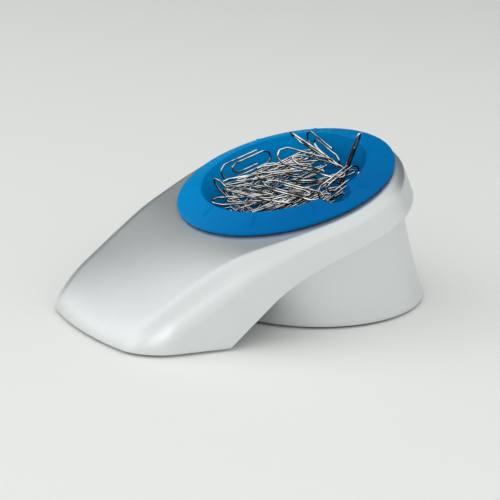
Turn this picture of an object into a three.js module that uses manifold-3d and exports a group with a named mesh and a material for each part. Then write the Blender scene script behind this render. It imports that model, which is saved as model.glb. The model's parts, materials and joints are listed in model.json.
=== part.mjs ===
// A paper clip holder for a desk: a silver cover with a long nose stands on a round leaning
// pedestal, and a blue cup of loose paper clips sits in the cover. The cup lifts out to be
// filled and turns in its seat, and magnets beside it hold the clips together when it moves.
// Lengths are in millimetres, angles in degrees, +Z is up and the nose points along -Y.
// Until the last lines the origin is on the cover's lower edge plane, under the rim's centre.
import * as THREE from 'three';
import { mergeVertices } from 'three/addons/utils/BufferGeometryUtils.js';
import Module from 'manifold-3d';

const wasm = await Module();
wasm.setup();

const radians = THREE.MathUtils.degToRad;

// The cup's place: its rim's centre above the cover's lower edge, and its lean to the front
const rimHeight = 43.3;
const rimTilt = 16.6;

// Clearances and the height that the feet hold everything off the desk
const fitGap = 0.3;
const turnGap = 0.5;
const footStand = 1.0;

// Cover: plan outline, draft, wall and rounded edges
const noseReach = 84.65;
const noseBowRadius = 101.7;
const noseCornerRadius = 10;
const sideFlare = 11.46;
const sideReach = 48.97;
const sideDraft = 4.8;
const coverWall = 2.2;
const rearRidgeRadius = 4.5;
const noseRidgeRadius = 11;
const noseEdgeRadius = 3;
const noseEdgeRun = 15;
const ridgeChangeStart = -30;
const ridgeChangeEnd = 15;

// Cover: the top's fall along the middle, from the seat plane to the nose
const coverDrop = 0.9;
const noseStart = 36;
const noseLift = 2.4;
const noseAngle = 45;
const noseHandle = 12.5;
const seatHandle = 16.7;
const noseCrown = 2.0;
const crownHalfWidth = 36;
const crownStart = 32;
const crownEnd = 64;

// Cover: the lower edge seen from the side, flat on the desk and then rising to the rear
const edgeFlatEnd = -47.8;
const edgeRise = 41.5;
const edgeStraight = 22;
const edgeRearFall = 12.3;
const edgeRearTilt = 14;
const edgeRearStart = 8;
const edgeHandle = 11;

// Well in the cover that the magnet carrier and the cup sit in, wide above and narrow below
const wellWall = 2.0;
const wellShelf = 8.5;
const wellLowerWall = 1.8;
const wellDepth = 16.5;
const wellFloor = 2.0;
const wellFloorHole = 18;

// Pedestal
const pedestalRadius = 43.5;
const pedestalCentre = 11.9;
const pedestalWaist = 2.1;
const pedestalFlare = 8;
const pedestalWall = 2.2;
const pedestalLipWidth = 2.0;
const pedestalLipHeight = 2.0;

// Base plate, ballast, feet and screws
const basePlateThickness = 2.4;
const ballastRadius = 34.5;
const ballastThickness = 4.0;
const footRingInner = 34.2;
const footRingOuter = 39.2;
const footRingSeat = 0.8;
const frontFootRadius = 5.0;
const frontFootSpread = 24;
const frontFootReach = 70;
const frontFootSeat = 1.3;
const frontFootPostWall = 0.8;
const footBevel = 0.5;
const bossSpread = 20;
const bossReach = 18.5;
const bossRadius = 3.6;
const screwRadius = 1.35;
const screwLength = 14;
const screwHeadRadius = 2.7;
const screwHeadHeight = 1.2;
const screwHeadRound = 0.5;
const screwRunOut = 1.5;

// Cup: flange, lip, wall and floor, as radius about its axis and height over the rim plane
const rimRadius = 40.5;
const rimEdge = 1.0;
const rimEdgeTop = 0.8;
const rimRound = 0.3;
const rimChamfer = 0.9;
const flangeThickness = 1.5;
const lipRadius = 30.5;
const lipRise = 4.4;
const lipRound = 0.9;
const cupWall = 1.8;
const cupDepth = 13;
const cupFloorRadius = 20;
const cupFloorRound = 6;
const cupWaistRadius = 26.2;
const ribCount = 10;
const ribWidth = 2.0;
const ribHeight = 0.7;
const ribLength = 5.4;
const ribInset = 1.0;

// Finger scoop in the cup's wall
const scoopAngle = 2;
const scoopCentre = 30.3;
const scoopDepth = 6.0;
const scoopWidth = 6.1;
const scoopFall = 7;
const scoopLift = 3.5;
const scoopWall = 1.6;

// Magnet carrier and magnets
const cupSideGap = 0.6;
const cupNeckGap = 1.9;
const scoopKeyGap = 1.0;
const carrierWeb = 7.2;
const carrierUpperWall = 3.5;
const carrierLowerWall = 4.5;
const magnetCount = 4;
const magnetLength = 12;
const magnetThickness = 2.5;
const magnetHeight = 5;

// The carrier's and the well's radii follow from the cup's
const carrierInner = cupWaistRadius + cupWall + cupSideGap;
const magnetCentre = carrierInner + carrierLowerWall / 2;
const wellLowerRadius = carrierInner + carrierLowerWall + turnGap;
const wellRadius = lipRadius + cupWall + cupNeckGap + carrierUpperWall + turnGap;

// Paper clips
const clipCount = 32;
const clipLength = 26;
const clipWidth = 7;
const wireDiameter = 0.9;
const clipShoulder = 2.6;
const clipCornerCut = 0.6;
const clipInnerTop = 19.6;
const clipOuterEnd = 5.5;
const clipInnerEnd = 7.5;
const clipLegGap = 1.25;
const clipBendShare = 0.27;
const clipTaper = 0.1;
const clipSides = 5;
const clipTilt = 16;
const clipTries = 16;
const clipSeed = 7;

// Clips that stand out of the heap in the photo, placed by hand: the middle in the cup's frame,
// then heading, climb and roll
const shownClips = [
  { middle: [12.9, 19.4, 1.2], heading: 82, climb: 54, roll: -42 },
  { middle: [11.3, 5.9, 7.8], heading: -133, climb: 25, roll: -56 },
  { middle: [1.8, 13.8, 7.0], heading: -173, climb: 18, roll: -122 },
  { middle: [-5, 21.2, 2.3], heading: 172, climb: 6, roll: -80 },
  { middle: [-20.5, -3.4, 2.8], heading: -77, climb: 8, roll: -70 },
  { middle: [-6, -18.5, -2.2], heading: -173, climb: 32, roll: -101 },
  { middle: [23, 8.3, 2.3], heading: -69, climb: 3, roll: -80 },
  { middle: [10, 4, 0.6], heading: -165, climb: -10, roll: -145 },
];

// Further out than any face of the holder
const farReach = 150;

const tilt = radians(rimTilt);
const flare = radians(sideFlare);
const draft = radians(sideDraft);

// The frame of the cup: origin at the rim's centre, its own Z along the leaning axis
const cupFrame = new THREE.Matrix4().makeRotationX(tilt).setPosition(0, 0, rimHeight);

// Materials, one for each finish
const silverPaint = new THREE.MeshStandardMaterial({ color: 0xc9cfd1, roughness: 0.36, metalness: 0.45 });
const blueRubbery = new THREE.MeshStandardMaterial({ color: 0x0a74c4, roughness: 0.45, metalness: 0.0 });
const greyPlastic = new THREE.MeshStandardMaterial({ color: 0x55595c, roughness: 0.6, metalness: 0.0 });
const blackRubber = new THREE.MeshStandardMaterial({ color: 0x1b1c1d, roughness: 0.85, metalness: 0.0 });
const zincWire = new THREE.MeshStandardMaterial({ color: 0xb9b7b2, roughness: 0.28, metalness: 1.0 });
const bareSteel = new THREE.MeshStandardMaterial({ color: 0x8c9094, roughness: 0.45, metalness: 1.0 });
const ferrite = new THREE.MeshStandardMaterial({ color: 0x2d2e31, roughness: 0.7, metalness: 0.2 });

// Turns a closed geometry into a solid that can be cut and joined
function solidOf(geometry, matrix) {
  const bare = geometry.clone();
  bare.deleteAttribute('normal');
  bare.deleteAttribute('uv');
  if (matrix) bare.applyMatrix4(matrix);
  const merged = mergeVertices(bare, 1e-4);
  const vertProperties = new Float32Array(merged.attributes.position.array);
  const triVerts = new Uint32Array(merged.index.array);
  return new wasm.Manifold(new wasm.Mesh({ numProp: 3, vertProperties, triVerts }));
}

// Turns a solid back into a geometry
function geometryOf(solid) {
  const mesh = solid.getMesh();
  const positions = [];
  for (let i = 0; i < mesh.vertProperties.length; i += mesh.numProp) {
    positions.push(mesh.vertProperties[i], mesh.vertProperties[i + 1], mesh.vertProperties[i + 2]);
  }
  const geometry = new THREE.BufferGeometry();
  geometry.setAttribute('position', new THREE.Float32BufferAttribute(positions, 3));
  geometry.setIndex(Array.from(mesh.triVerts));
  geometry.computeVertexNormals();
  return geometry;
}

// A turned shape about Z from [radius, height] points that start and end on the axis or close
function turned(profile, segments) {
  const points = profile.map(([radius, height]) => new THREE.Vector2(radius, height));
  const geometry = new THREE.LatheGeometry(points, segments);
  geometry.rotateX(Math.PI / 2);
  return geometry;
}

// An upright round bar from one height to another
function bar(radius, low, high, segments) {
  const geometry = new THREE.CylinderGeometry(radius, radius, high - low, segments);
  geometry.rotateX(Math.PI / 2);
  geometry.translate(0, 0, (low + high) / 2);
  return geometry;
}

const move = (x, y, z) => new THREE.Matrix4().makeTranslation(x, y, z);
const turn = (angle) => new THREE.Matrix4().makeRotationZ(angle);

// The greater of two distances, with the corner between them rounded to a radius
function roundedMax(a, b, radius) {
  return Math.min(Math.max(a, b), -radius) + Math.hypot(Math.max(a + radius, 0), Math.max(b + radius, 0));
}

// Finds where a rising function crosses zero between two values
function crossing(f, low, high) {
  let a = low;
  let b = high;
  for (let step = 0; step < 36; step += 1) {
    const middle = (a + b) / 2;
    if (f(middle) > 0) b = middle;
    else a = middle;
  }
  return (a + b) / 2;
}

// Distance in plan from the cover's outline at a height: flat flared sides run into a round
// rear about the leaning axis, and a shallow bow closes the nose
function outlineDistance(x, y, z) {
  const centre = (rimHeight - z) * Math.tan(tilt);
  const reach = sideReach - z * Math.tan(draft);
  const radius = reach + centre * Math.sin(flare);
  const along = Math.abs(x) * Math.sin(flare) + (y - centre) * Math.cos(flare);
  const flat = Math.abs(x) * Math.cos(flare) - (y - centre) * Math.sin(flare) - radius;
  const round = Math.hypot(x, y - centre) - radius;
  const bow = Math.hypot(x, y + noseReach - noseBowRadius) - noseBowRadius + z * Math.tan(draft);
  return roundedMax(along > 0 ? round : flat, bow, noseCornerRadius);
}

// Height of the seat plane, just under the rim, and of the cover's middle line
const seatPlane = (y) => rimHeight - coverDrop / Math.cos(tilt) + y * Math.tan(tilt);
const noseCurve = new THREE.CubicBezierCurve(
  new THREE.Vector2(-noseReach, noseLift),
  new THREE.Vector2(
    -noseReach + noseHandle * Math.cos(radians(noseAngle)),
    noseLift + noseHandle * Math.sin(radians(noseAngle)),
  ),
  new THREE.Vector2(-noseStart - seatHandle, seatPlane(-noseStart - seatHandle)),
  new THREE.Vector2(-noseStart, seatPlane(-noseStart)),
);

function middleHeight(y) {
  if (y >= -noseStart) return seatPlane(y);
  if (y <= -noseReach) return noseLift + (y + noseReach) * Math.tan(radians(noseAngle));
  const share = crossing((t) => noseCurve.getPoint(t).x - y, 0, 1);
  return noseCurve.getPoint(share).y;
}

function topHeight(x, y) {
  const run = THREE.MathUtils.smoothstep(-y, crownStart, crownEnd);
  return middleHeight(y) - noseCrown * run * (x / crownHalfWidth) ** 2;
}

// Radius of the cover's upper edge: small at the tip, widest on the nose, less to the rear
function edgeRadius(y) {
  const toRear = THREE.MathUtils.smoothstep(y, ridgeChangeStart, ridgeChangeEnd);
  const ridge = THREE.MathUtils.lerp(noseRidgeRadius, rearRidgeRadius, toRear);
  const fromTip = THREE.MathUtils.smoothstep(y + noseReach, 0, noseEdgeRun);
  return THREE.MathUtils.lerp(noseEdgeRadius, ridge, fromTip);
}

// Distance from the cover's outer skin, less than zero inside it
function coverDistance(x, y, z) {
  const side = outlineDistance(x, y, z) * Math.cos(draft);
  const slope = (topHeight(x, y + 0.5) - topHeight(x, y - 0.5));
  const top = (z - topHeight(x, y)) / Math.hypot(1, slope);
  return roundedMax(side, top, edgeRadius(y));
}

// Directions, seen from above, of the sections through the cover. They crowd at its corners,
// and those of the left half mirror those of the right half.
function stationAngles(count) {
  const fine = 360;
  const crowding = 25;
  const measure = [0];
  const angleOf = (i) => radians(-90 + (180 * i) / fine);
  const at = (angle) => {
    const reach = crossing((r) => outlineDistance(r * Math.cos(angle), r * Math.sin(angle), 0), 1, farReach);
    return new THREE.Vector2(reach * Math.cos(angle), reach * Math.sin(angle));
  };
  let last = at(angleOf(0));
  let heading = 0;
  for (let i = 1; i <= fine; i += 1) {
    const next = at(angleOf(i));
    const edge = next.clone().sub(last);
    const direction = Math.atan2(edge.y, edge.x);
    measure.push(measure[i - 1] + edge.length() + crowding * Math.abs(direction - heading));
    heading = direction;
    last = next;
  }
  const half = count / 2;
  const right = [];
  let i = 0;
  for (let k = 0; k <= half; k += 1) {
    const goal = (measure[fine] * k) / half;
    while (i + 1 < fine && measure[i + 1] < goal) i += 1;
    const share = (goal - measure[i]) / (measure[i + 1] - measure[i]);
    right.push(angleOf(i + share));
  }
  const left = right.slice(1, half).reverse().map((angle) => Math.PI - angle);
  return [...right, ...left];
}

// One upright section of the cover's skin, sunk by an inset, from its foot up to the top. Its
// points are found along straight lines from a place on the middle axis. It ends inside the
// well's opening, which is cut out later.
const sectionCore = 9;
const skinOverlap = 4;
function coverSection(angle, inset, foot, sideSteps, edgeSteps, topSteps) {
  const at = (r, z) => [r * Math.cos(angle), r * Math.sin(angle), z];
  const sideAt = (z) => crossing((r) => outlineDistance(...at(r, z)) + inset, 1, farReach);
  let ridge = seatPlane(0);
  for (let step = 0; step < 40; step += 1) {
    const [x, y] = at(sideAt(ridge), 0);
    ridge = (ridge + topHeight(x, y) - inset * 1.2) / 2;
  }
  const ridgeReach = sideAt(ridge);
  const innerReach = wellRadius - skinOverlap;
  const edge = edgeRadius(ridgeReach * Math.sin(angle));
  const upTo = Math.min(edge, 0.7 * (ridge - foot));
  const across = Math.min(edge, 0.5 * (ridgeReach - innerReach));
  const guide = [];
  for (let k = 1; k <= sideSteps; k += 1) {
    const z = foot + ((ridge - upTo - foot) * k) / sideSteps;
    guide.push([sideAt(z), z]);
  }
  for (let k = 1; k < edgeSteps; k += 1) {
    const share = (2 * k) / edgeSteps - 1;
    const z = share < 0 ? ridge + share * upTo : ridge;
    const r = share < 0 ? sideAt(z) : ridgeReach - share * across;
    guide.push([r, share < 0 ? z : topHeight(...at(r, 0).slice(0, 2))]);
  }
  for (let k = 0; k <= topSteps; k += 1) {
    const r = THREE.MathUtils.lerp(ridgeReach - across, innerReach, k / topSteps);
    guide.push([r, topHeight(...at(r, 0).slice(0, 2))]);
  }
  const points = [at(crossing((r) => coverDistance(...at(r, foot)) + inset, 1, farReach), foot)];
  guide.forEach(([r, z]) => {
    const along = (t) => at(r * t, sectionCore + (z - sectionCore) * t);
    points.push(along(crossing((t) => coverDistance(...along(t)) + inset, 0.05, 1.6)));
  });
  return points;
}

// The closed body inside the cover's skin, sunk by an inset
function coverBody(inset, foot, stationCount, sideSteps, edgeSteps, topSteps) {
  const sections = stationAngles(stationCount).map((angle) => (
    coverSection(angle, inset, foot, sideSteps, edgeSteps, topSteps)));
  const rings = sections[0].length;
  const positions = sections.flat().flat();
  const bottom = stationCount * rings;
  const top = bottom + 1;
  positions.push(0, 0, foot, 0, 0, topHeight(0, 0) - inset);
  const index = [];
  for (let i = 0; i < stationCount; i += 1) {
    const a = i * rings;
    const b = ((i + 1) % stationCount) * rings;
    for (let k = 0; k + 1 < rings; k += 1) {
      if (i < stationCount / 2) index.push(a + k, b + k, b + k + 1, a + k, b + k + 1, a + k + 1);
      else index.push(a + k, b + k, a + k + 1, b + k, b + k + 1, a + k + 1);
    }
    index.push(bottom, b, a, a + rings - 1, b + rings - 1, top);
  }
  const geometry = new THREE.BufferGeometry();
  geometry.setAttribute('position', new THREE.Float32BufferAttribute(positions, 3));
  geometry.setIndex(index);
  return solidOf(geometry);
}

// What is cut away under the cover's lower edge, drawn from the side and as wide as the cover
function lowerEdgeCutter() {
  const halfWidth = farReach;
  const rear = farReach;
  const low = -5;
  const riseY = edgeFlatEnd + edgeStraight * Math.cos(radians(edgeRise));
  const riseZ = edgeStraight * Math.sin(radians(edgeRise));
  const rearEdge = (y) => rimHeight - edgeRearFall / Math.cos(tilt) + y * Math.tan(radians(edgeRearTilt));
  const shape = new THREE.Shape();
  shape.moveTo(edgeFlatEnd, low);
  shape.lineTo(edgeFlatEnd, 0);
  shape.lineTo(riseY, riseZ);
  shape.bezierCurveTo(
    riseY + edgeHandle * Math.cos(radians(edgeRise)),
    riseZ + edgeHandle * Math.sin(radians(edgeRise)),
    edgeRearStart - edgeHandle,
    rearEdge(edgeRearStart - edgeHandle),
    edgeRearStart,
    rearEdge(edgeRearStart),
  );
  shape.lineTo(rear, rearEdge(rear));
  shape.lineTo(rear, low);
  const geometry = new THREE.ExtrudeGeometry(shape, {
    depth: 2 * halfWidth,
    bevelEnabled: false,
    curveSegments: 10,
  });
  geometry.applyMatrix4(new THREE.Matrix4().set(
    0, 0, 1, -halfWidth,
    1, 0, 0, 0,
    0, 1, 0, 0,
    0, 0, 0, 1,
  ));
  return solidOf(geometry);
}

const shelfUnder = wellShelf + wellWall;

// Where the screws stand, round the pedestal's foot
const screwPlaces = [[-1, -1], [1, -1], [1, 1], [-1, 1]].map(([sideways, lengthways]) => (
  [sideways * bossSpread, pedestalCentre + lengthways * bossReach]));
const ballastTop = basePlateThickness + fitGap + ballastThickness;
const bossFoot = ballastTop + fitGap;

// The cover with its well, screw bosses and the posts of the front feet
function coverShell() {
  const outer = coverBody(0, 0, 60, 1, 6, 5);
  const inner = coverBody(coverWall, -1, 32, 1, 3, 3);
  const opening = solidOf(bar(wellRadius, -wellShelf, 2 * wellDepth, 48), cupFrame);
  const skin = outer.subtract(inner).subtract(lowerEdgeCutter()).subtract(opening);
  const above = lipRise;
  const well = solidOf(turned([
    [wellRadius, above],
    [wellRadius, -wellShelf],
    [wellLowerRadius, -wellShelf],
    [wellLowerRadius, -wellDepth],
    [wellFloorHole, -wellDepth],
    [wellFloorHole, -wellDepth - wellFloor],
    [wellLowerRadius + wellLowerWall, -wellDepth - wellFloor],
    [wellLowerRadius + wellLowerWall, -shelfUnder],
    [wellRadius + wellWall, -shelfUnder],
    [wellRadius + wellWall, above],
    [wellRadius, above],
  ], 48), cupFrame);
  let shell = skin.add(well.intersect(outer));
  screwPlaces.forEach(([x, y]) => {
    const top = rimHeight - (wellDepth + wellFloor / 2) / Math.cos(tilt) + y * Math.tan(tilt);
    shell = shell.add(solidOf(bar(bossRadius, bossFoot, top, 12), move(x, y, 0)));
    const pilot = bar(screwRadius + fitGap, bossFoot - 1, screwHeadHeight + screwLength + screwRunOut, 8);
    shell = shell.subtract(solidOf(pilot, move(x, y, 0)));
  });
  [-1, 1].forEach((side) => {
    const post = solidOf(
      bar(frontFootRadius + frontFootPostWall, frontFootSeat + fitGap, rimHeight, 14),
      move(side * frontFootSpread, -frontFootReach, 0),
    );
    const pocket = bar(frontFootRadius + fitGap, -footStand, frontFootSeat + fitGap, 16);
    shell = shell.add(post.intersect(outer))
      .subtract(solidOf(pocket, move(side * frontFootSpread, -frontFootReach, 0)));
  });
  return geometryOf(shell);
}

// Moves an upright round shape to the pedestal's place and makes it lean while it stays round
// at every level
const pedestalLean = new THREE.Matrix4().set(
  1, 0, 0, 0,
  0, 1, -Math.tan(tilt), pedestalCentre,
  0, 0, 1, 0,
  0, 0, 0, 1,
);

// The leaning pedestal, with a lip inside its foot for the base plate
function pedestalShell() {
  const tall = rimHeight;
  const inside = pedestalRadius - pedestalWall;
  const lipLow = basePlateThickness + fitGap;
  const flared = [];
  for (let k = 0; k <= 3; k += 1) {
    const share = k / 3;
    flared.push([pedestalRadius - pedestalWaist * (1 - (1 - share) ** 2), pedestalFlare * share * share]);
  }
  const tube = solidOf(turned([
    ...flared,
    [pedestalRadius - pedestalWaist, tall],
    [pedestalRadius - pedestalWaist - pedestalWall, tall],
    [pedestalRadius - pedestalWaist - pedestalWall, pedestalFlare],
    [inside - pedestalWaist / 2, lipLow + pedestalLipHeight],
    [inside - pedestalLipWidth, lipLow + pedestalLipHeight],
    [inside - pedestalLipWidth, lipLow],
    [inside, lipLow],
    [inside, 0],
    [pedestalRadius, 0],
  ], 48), pedestalLean);
  const roof = solidOf(bar(3 * pedestalRadius, -shelfUnder - fitGap, 3 * rimHeight, 12), cupFrame);
  return geometryOf(tube.subtract(roof));
}

// The base plate, with a groove for the foot ring and sunk holes for the screws
function basePlate() {
  const disc = bar(pedestalRadius - pedestalWall - fitGap, 0, basePlateThickness, 48);
  const groove = turned([
    [footRingInner - fitGap, -1],
    [footRingOuter + fitGap, -1],
    [footRingOuter + fitGap, footRingSeat + fitGap],
    [footRingInner - fitGap, footRingSeat + fitGap],
    [footRingInner - fitGap, -1],
  ], 40);
  let plate = solidOf(disc, pedestalLean).subtract(solidOf(groove, move(0, pedestalCentre, 0)));
  screwPlaces.forEach(([x, y]) => {
    const hole = bar(screwRadius + fitGap, -1, basePlateThickness + 1, 8);
    const sink = bar(screwHeadRadius + fitGap, -1, screwHeadHeight + fitGap, 12);
    plate = plate.subtract(solidOf(hole, move(x, y, 0))).subtract(solidOf(sink, move(x, y, 0)));
  });
  return geometryOf(plate);
}

// The steel ballast disc on the base plate
function ballastPlate() {
  const low = basePlateThickness + fitGap;
  let plate = solidOf(bar(ballastRadius, low, ballastTop, 40), move(0, pedestalCentre, 0));
  screwPlaces.forEach(([x, y]) => {
    plate = plate.subtract(solidOf(bar(screwRadius + fitGap, 0, bossFoot, 8), move(x, y, 0)));
  });
  return geometryOf(plate);
}

// A screw: a pan head below and a plain shank up into its boss
function screw() {
  const shank = screwHeadHeight + screwLength;
  return turned([
    [0, 0],
    [screwHeadRadius - screwHeadRound, 0],
    [screwHeadRadius, screwHeadRound],
    [screwHeadRadius, screwHeadHeight],
    [screwRadius, screwHeadHeight],
    [screwRadius, shank - screwRadius],
    [0, shank],
  ], 10);
}

// The ring of rubber under the pedestal, and one round foot for under the nose
function footRing() {
  return turned([
    [footRingInner, -footStand],
    [footRingOuter, -footStand],
    [footRingOuter, footRingSeat],
    [footRingInner, footRingSeat],
    [footRingInner, -footStand],
  ], 40);
}

function frontFoot() {
  return turned([
    [0, -footStand],
    [frontFootRadius - footBevel, -footStand],
    [frontFootRadius, -footStand + footBevel],
    [frontFootRadius, frontFootSeat],
    [0, frontFootSeat],
  ], 16);
}

// The inner side of the cup, from its floor's centre to its lip
const flangeSlope = (lipRise - rimEdgeTop) / (rimRadius - lipRadius);
const flangeTop = (r) => rimEdgeTop + (rimRadius - r) * flangeSlope;
const flangeUnder = (r) => flangeTop(r) - flangeThickness;
function cupInside() {
  const points = [[0, -cupDepth]];
  const steps = 4;
  for (let k = 0; k <= steps; k += 1) {
    const share = (k / steps) * (Math.PI / 2);
    points.push([
      cupFloorRadius + (cupWaistRadius - cupFloorRadius) * Math.sin(share),
      -cupDepth + cupFloorRound * (1 - Math.cos(share)),
    ]);
  }
  points.push([lipRadius - lipRound / 2, lipRise - 1.5 * lipRound]);
  points.push([lipRadius, lipRise - lipRound / 4]);
  return points;
}

// The finger scoop's shape, or what surrounds it at a distance
const scoopPlace = turn(radians(scoopAngle)).multiply(move(scoopCentre, 0, scoopLift));
function scoopBody(around) {
  const ball = new THREE.SphereGeometry(1, 16, 10).rotateX(Math.PI / 2);
  ball.scale(scoopDepth + around, scoopWidth + around, scoopFall + around);
  return solidOf(ball, scoopPlace);
}

// The cup: a thin flared bowl with a sloping flange, a finger scoop and grip ribs
function clipCup() {
  const segments = 44;
  const above = 2 * lipRise;
  const inside = cupInside();
  const cavity = solidOf(turned([...inside, [lipRadius + lipRound / 4, above], [0, above]], segments));
  const skirt = inside.slice(1, -2).map(([r, h]) => [r + cupWall, h - (r < cupWaistRadius ? cupWall : 0)]);
  const neck = lipRadius + cupWall;
  const body = solidOf(turned([
    [0, -cupDepth - cupWall],
    [cupFloorRadius, -cupDepth - cupWall],
    ...skirt.slice(1),
    [neck, flangeUnder(neck)],
    [rimRadius - rimChamfer, flangeUnder(rimRadius - rimChamfer)],
    [rimRadius - rimRound, rimEdgeTop - rimEdge],
    [rimRadius, rimEdgeTop - rimEdge + rimRound],
    [rimRadius, rimEdgeTop - rimRound],
    [rimRadius - rimRound, rimEdgeTop],
    [lipRadius + lipRound, flangeTop(lipRadius + lipRound)],
    [lipRadius + lipRound / 2, lipRise],
    [0, lipRise],
  ], segments));
  const underFlange = solidOf(turned([
    [0, -2 * cupDepth],
    [rimRadius, -2 * cupDepth],
    [rimRadius, flangeTop(rimRadius) - flangeThickness / 3],
    [lipRadius, lipRise - flangeThickness / 3],
    [0, lipRise - flangeThickness / 3],
  ], segments));
  const outside = body.add(scoopBody(scoopWall).intersect(underFlange));
  let cup = outside.subtract(cavity).subtract(scoopBody(0));
  for (let k = 0; k < ribCount; k += 1) {
    const along = new THREE.CapsuleGeometry(ribWidth / 2, ribLength - ribWidth, 2, 8);
    along.rotateZ(Math.PI / 2);
    along.scale(1, 1, (2 * ribHeight) / ribWidth);
    along.rotateY(Math.atan(flangeSlope));
    const reach = lipRadius + ribInset + (ribLength / 2) * Math.cos(Math.atan(flangeSlope));
    const place = turn(-Math.PI / 2 + (k * 2 * Math.PI) / ribCount)
      .multiply(move(reach, 0, flangeTop(reach)));
    cup = cup.add(solidOf(along, place));
  }
  return geometryOf(cup);
}

// The ring that carries the magnets round the cup, with a notch that keys it to the cup's scoop
const carrierRadius = wellRadius - turnGap;
const carrierFoot = -wellDepth + fitGap;
const magnetPlaces = Array.from({ length: magnetCount }, (_, k) => (
  turn(((k + 0.5) * 2 * Math.PI) / magnetCount)
    .multiply(move(magnetCentre, 0, carrierFoot + magnetHeight / 2))));
function magnetCarrier() {
  const upper = carrierRadius - carrierUpperWall;
  const lower = wellLowerRadius - turnGap;
  let ring = solidOf(turned([
    [carrierInner, carrierFoot],
    [lower, carrierFoot],
    [lower, fitGap - wellShelf],
    [carrierRadius, fitGap - wellShelf],
    [carrierRadius, flangeUnder(carrierRadius) - fitGap],
    [upper, flangeUnder(upper) - fitGap],
    [upper, -carrierWeb],
    [carrierInner, -carrierWeb],
    [carrierInner, carrierFoot],
  ], 40)).subtract(scoopBody(scoopWall + scoopKeyGap));
  magnetPlaces.forEach((spot) => {
    const pocket = new THREE.BoxGeometry(
      magnetThickness + 2 * fitGap,
      magnetLength + 2 * fitGap,
      magnetHeight + 2 * fitGap,
    );
    ring = ring.subtract(solidOf(pocket, spot));
  });
  return geometryOf(ring);
}

// The wire's middle line in a flat clip, from its outer free end to its inner free end
function clipLine(cornerCut) {
  const half = (clipWidth - wireDiameter) / 2;
  const length = clipLength - wireDiameter;
  const inner = half - clipLegGap;
  const points = [];
  const bend = (end, direction, from, to) => {
    const first = new THREE.Vector2(end, THREE.MathUtils.lerp(from, to, clipBendShare));
    const second = new THREE.Vector2(end, THREE.MathUtils.lerp(to, from, clipBendShare));
    const enter = new THREE.Vector2(end - direction * clipShoulder, from);
    const leave = new THREE.Vector2(end - direction * clipShoulder, to);
    points.push(enter);
    if (cornerCut > 0) {
      const across = new THREE.Vector2(0, Math.sign(to - from) * cornerCut);
      points.push(first.clone().lerp(enter, cornerCut / first.distanceTo(enter)));
      points.push(first.clone().add(across), second.clone().sub(across));
      points.push(second.clone().lerp(leave, cornerCut / second.distanceTo(leave)));
    } else {
      points.push(first, second);
    }
    points.push(leave);
  };
  points.push(new THREE.Vector2(clipOuterEnd, -half));
  bend(length, 1, -half, half);
  bend(0, -1, half, -inner);
  bend(clipInnerTop, 1, -inner, inner - clipTaper);
  points.push(new THREE.Vector2(clipInnerEnd, inner - clipTaper));
  return points.map((p) => new THREE.Vector3(p.x - length / 2, p.y, 0));
}

// A path straight from point to point, with a ring of the tube at every point
class WirePath extends THREE.Curve {
  constructor(points) {
    super();
    this.points = points;
  }

  getPoint(t) {
    const last = this.points.length - 1;
    const place = Math.min(t, 1) * last;
    const i = Math.min(Math.floor(place), last - 1);
    return this.points[i].clone().lerp(this.points[i + 1], place - i);
  }

  getTangent(t) {
    const last = this.points.length - 1;
    const i = Math.round(t * last);
    const direction = new THREE.Vector3();
    if (i > 0) direction.add(this.points[i].clone().sub(this.points[i - 1]).normalize());
    if (i < last) direction.add(this.points[i + 1].clone().sub(this.points[i]).normalize());
    return direction.normalize();
  }

  getUtoTmapping(u) {
    return u;
  }
}

function clipWire() {
  const line = clipLine(clipCornerCut);
  const section = new THREE.Shape();
  for (let k = 0; k < clipSides; k += 1) {
    const angle = (k * 2 * Math.PI) / clipSides;
    const x = (wireDiameter / 2) * Math.cos(angle);
    const y = (wireDiameter / 2) * Math.sin(angle);
    if (k === 0) section.moveTo(x, y);
    else section.lineTo(x, y);
  }
  return new THREE.ExtrudeGeometry(section, { steps: line.length - 1, extrudePath: new WirePath(line) });
}

// Numbers from 0 to 1 that look random and are the same on every run
function seeded(seed) {
  let state = seed;
  return () => {
    state = (state * 48271) % 2147483647;
    return state / 2147483647;
  };
}

// The least distance between two straight stretches of wire
function stretchDistance(p, q, r, s) {
  const d1 = q.clone().sub(p);
  const d2 = s.clone().sub(r);
  const w = p.clone().sub(r);
  const a = d1.dot(d1);
  const e = d2.dot(d2);
  const f = d2.dot(w);
  const c = d1.dot(w);
  const b = d1.dot(d2);
  const scale = a * e - b * b;
  let t1 = scale > 1e-9 ? THREE.MathUtils.clamp((b * f - c * e) / scale, 0, 1) : 0;
  let t2 = (b * t1 + f) / e;
  if (t2 < 0) {
    t2 = 0;
    t1 = THREE.MathUtils.clamp(-c / a, 0, 1);
  } else if (t2 > 1) {
    t2 = 1;
    t1 = THREE.MathUtils.clamp((b - c) / a, 0, 1);
  }
  return w.addScaledVector(d1, t1).addScaledVector(d2, -t2).length();
}

function wireDistance(one, other) {
  let least = Infinity;
  for (let i = 0; i + 1 < one.length; i += 1) {
    for (let j = 0; j + 1 < other.length; j += 1) {
      least = Math.min(least, stretchDistance(one[i], one[i + 1], other[j], other[j + 1]));
    }
  }
  return least;
}

// The height of the cup's inner side at a distance from its axis
function cupSurface(radius) {
  const inside = cupInside();
  for (let k = 0; k + 1 < inside.length; k += 1) {
    const [r0, h0] = inside[k];
    const [r1, h1] = inside[k + 1];
    if (radius <= r1) return THREE.MathUtils.lerp(h0, h1, (radius - r0) / (r1 - r0));
  }
  return Infinity;
}

// The wire of a clip in a pose
const wireIn = (pose) => clipLine(0).map((p) => p.clone().applyMatrix4(pose));

// Whether a wire keeps its distance from all of several others
const clearOf = (wire, others, apart) => others.every((other) => wireDistance(wire, other) >= apart);

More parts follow.
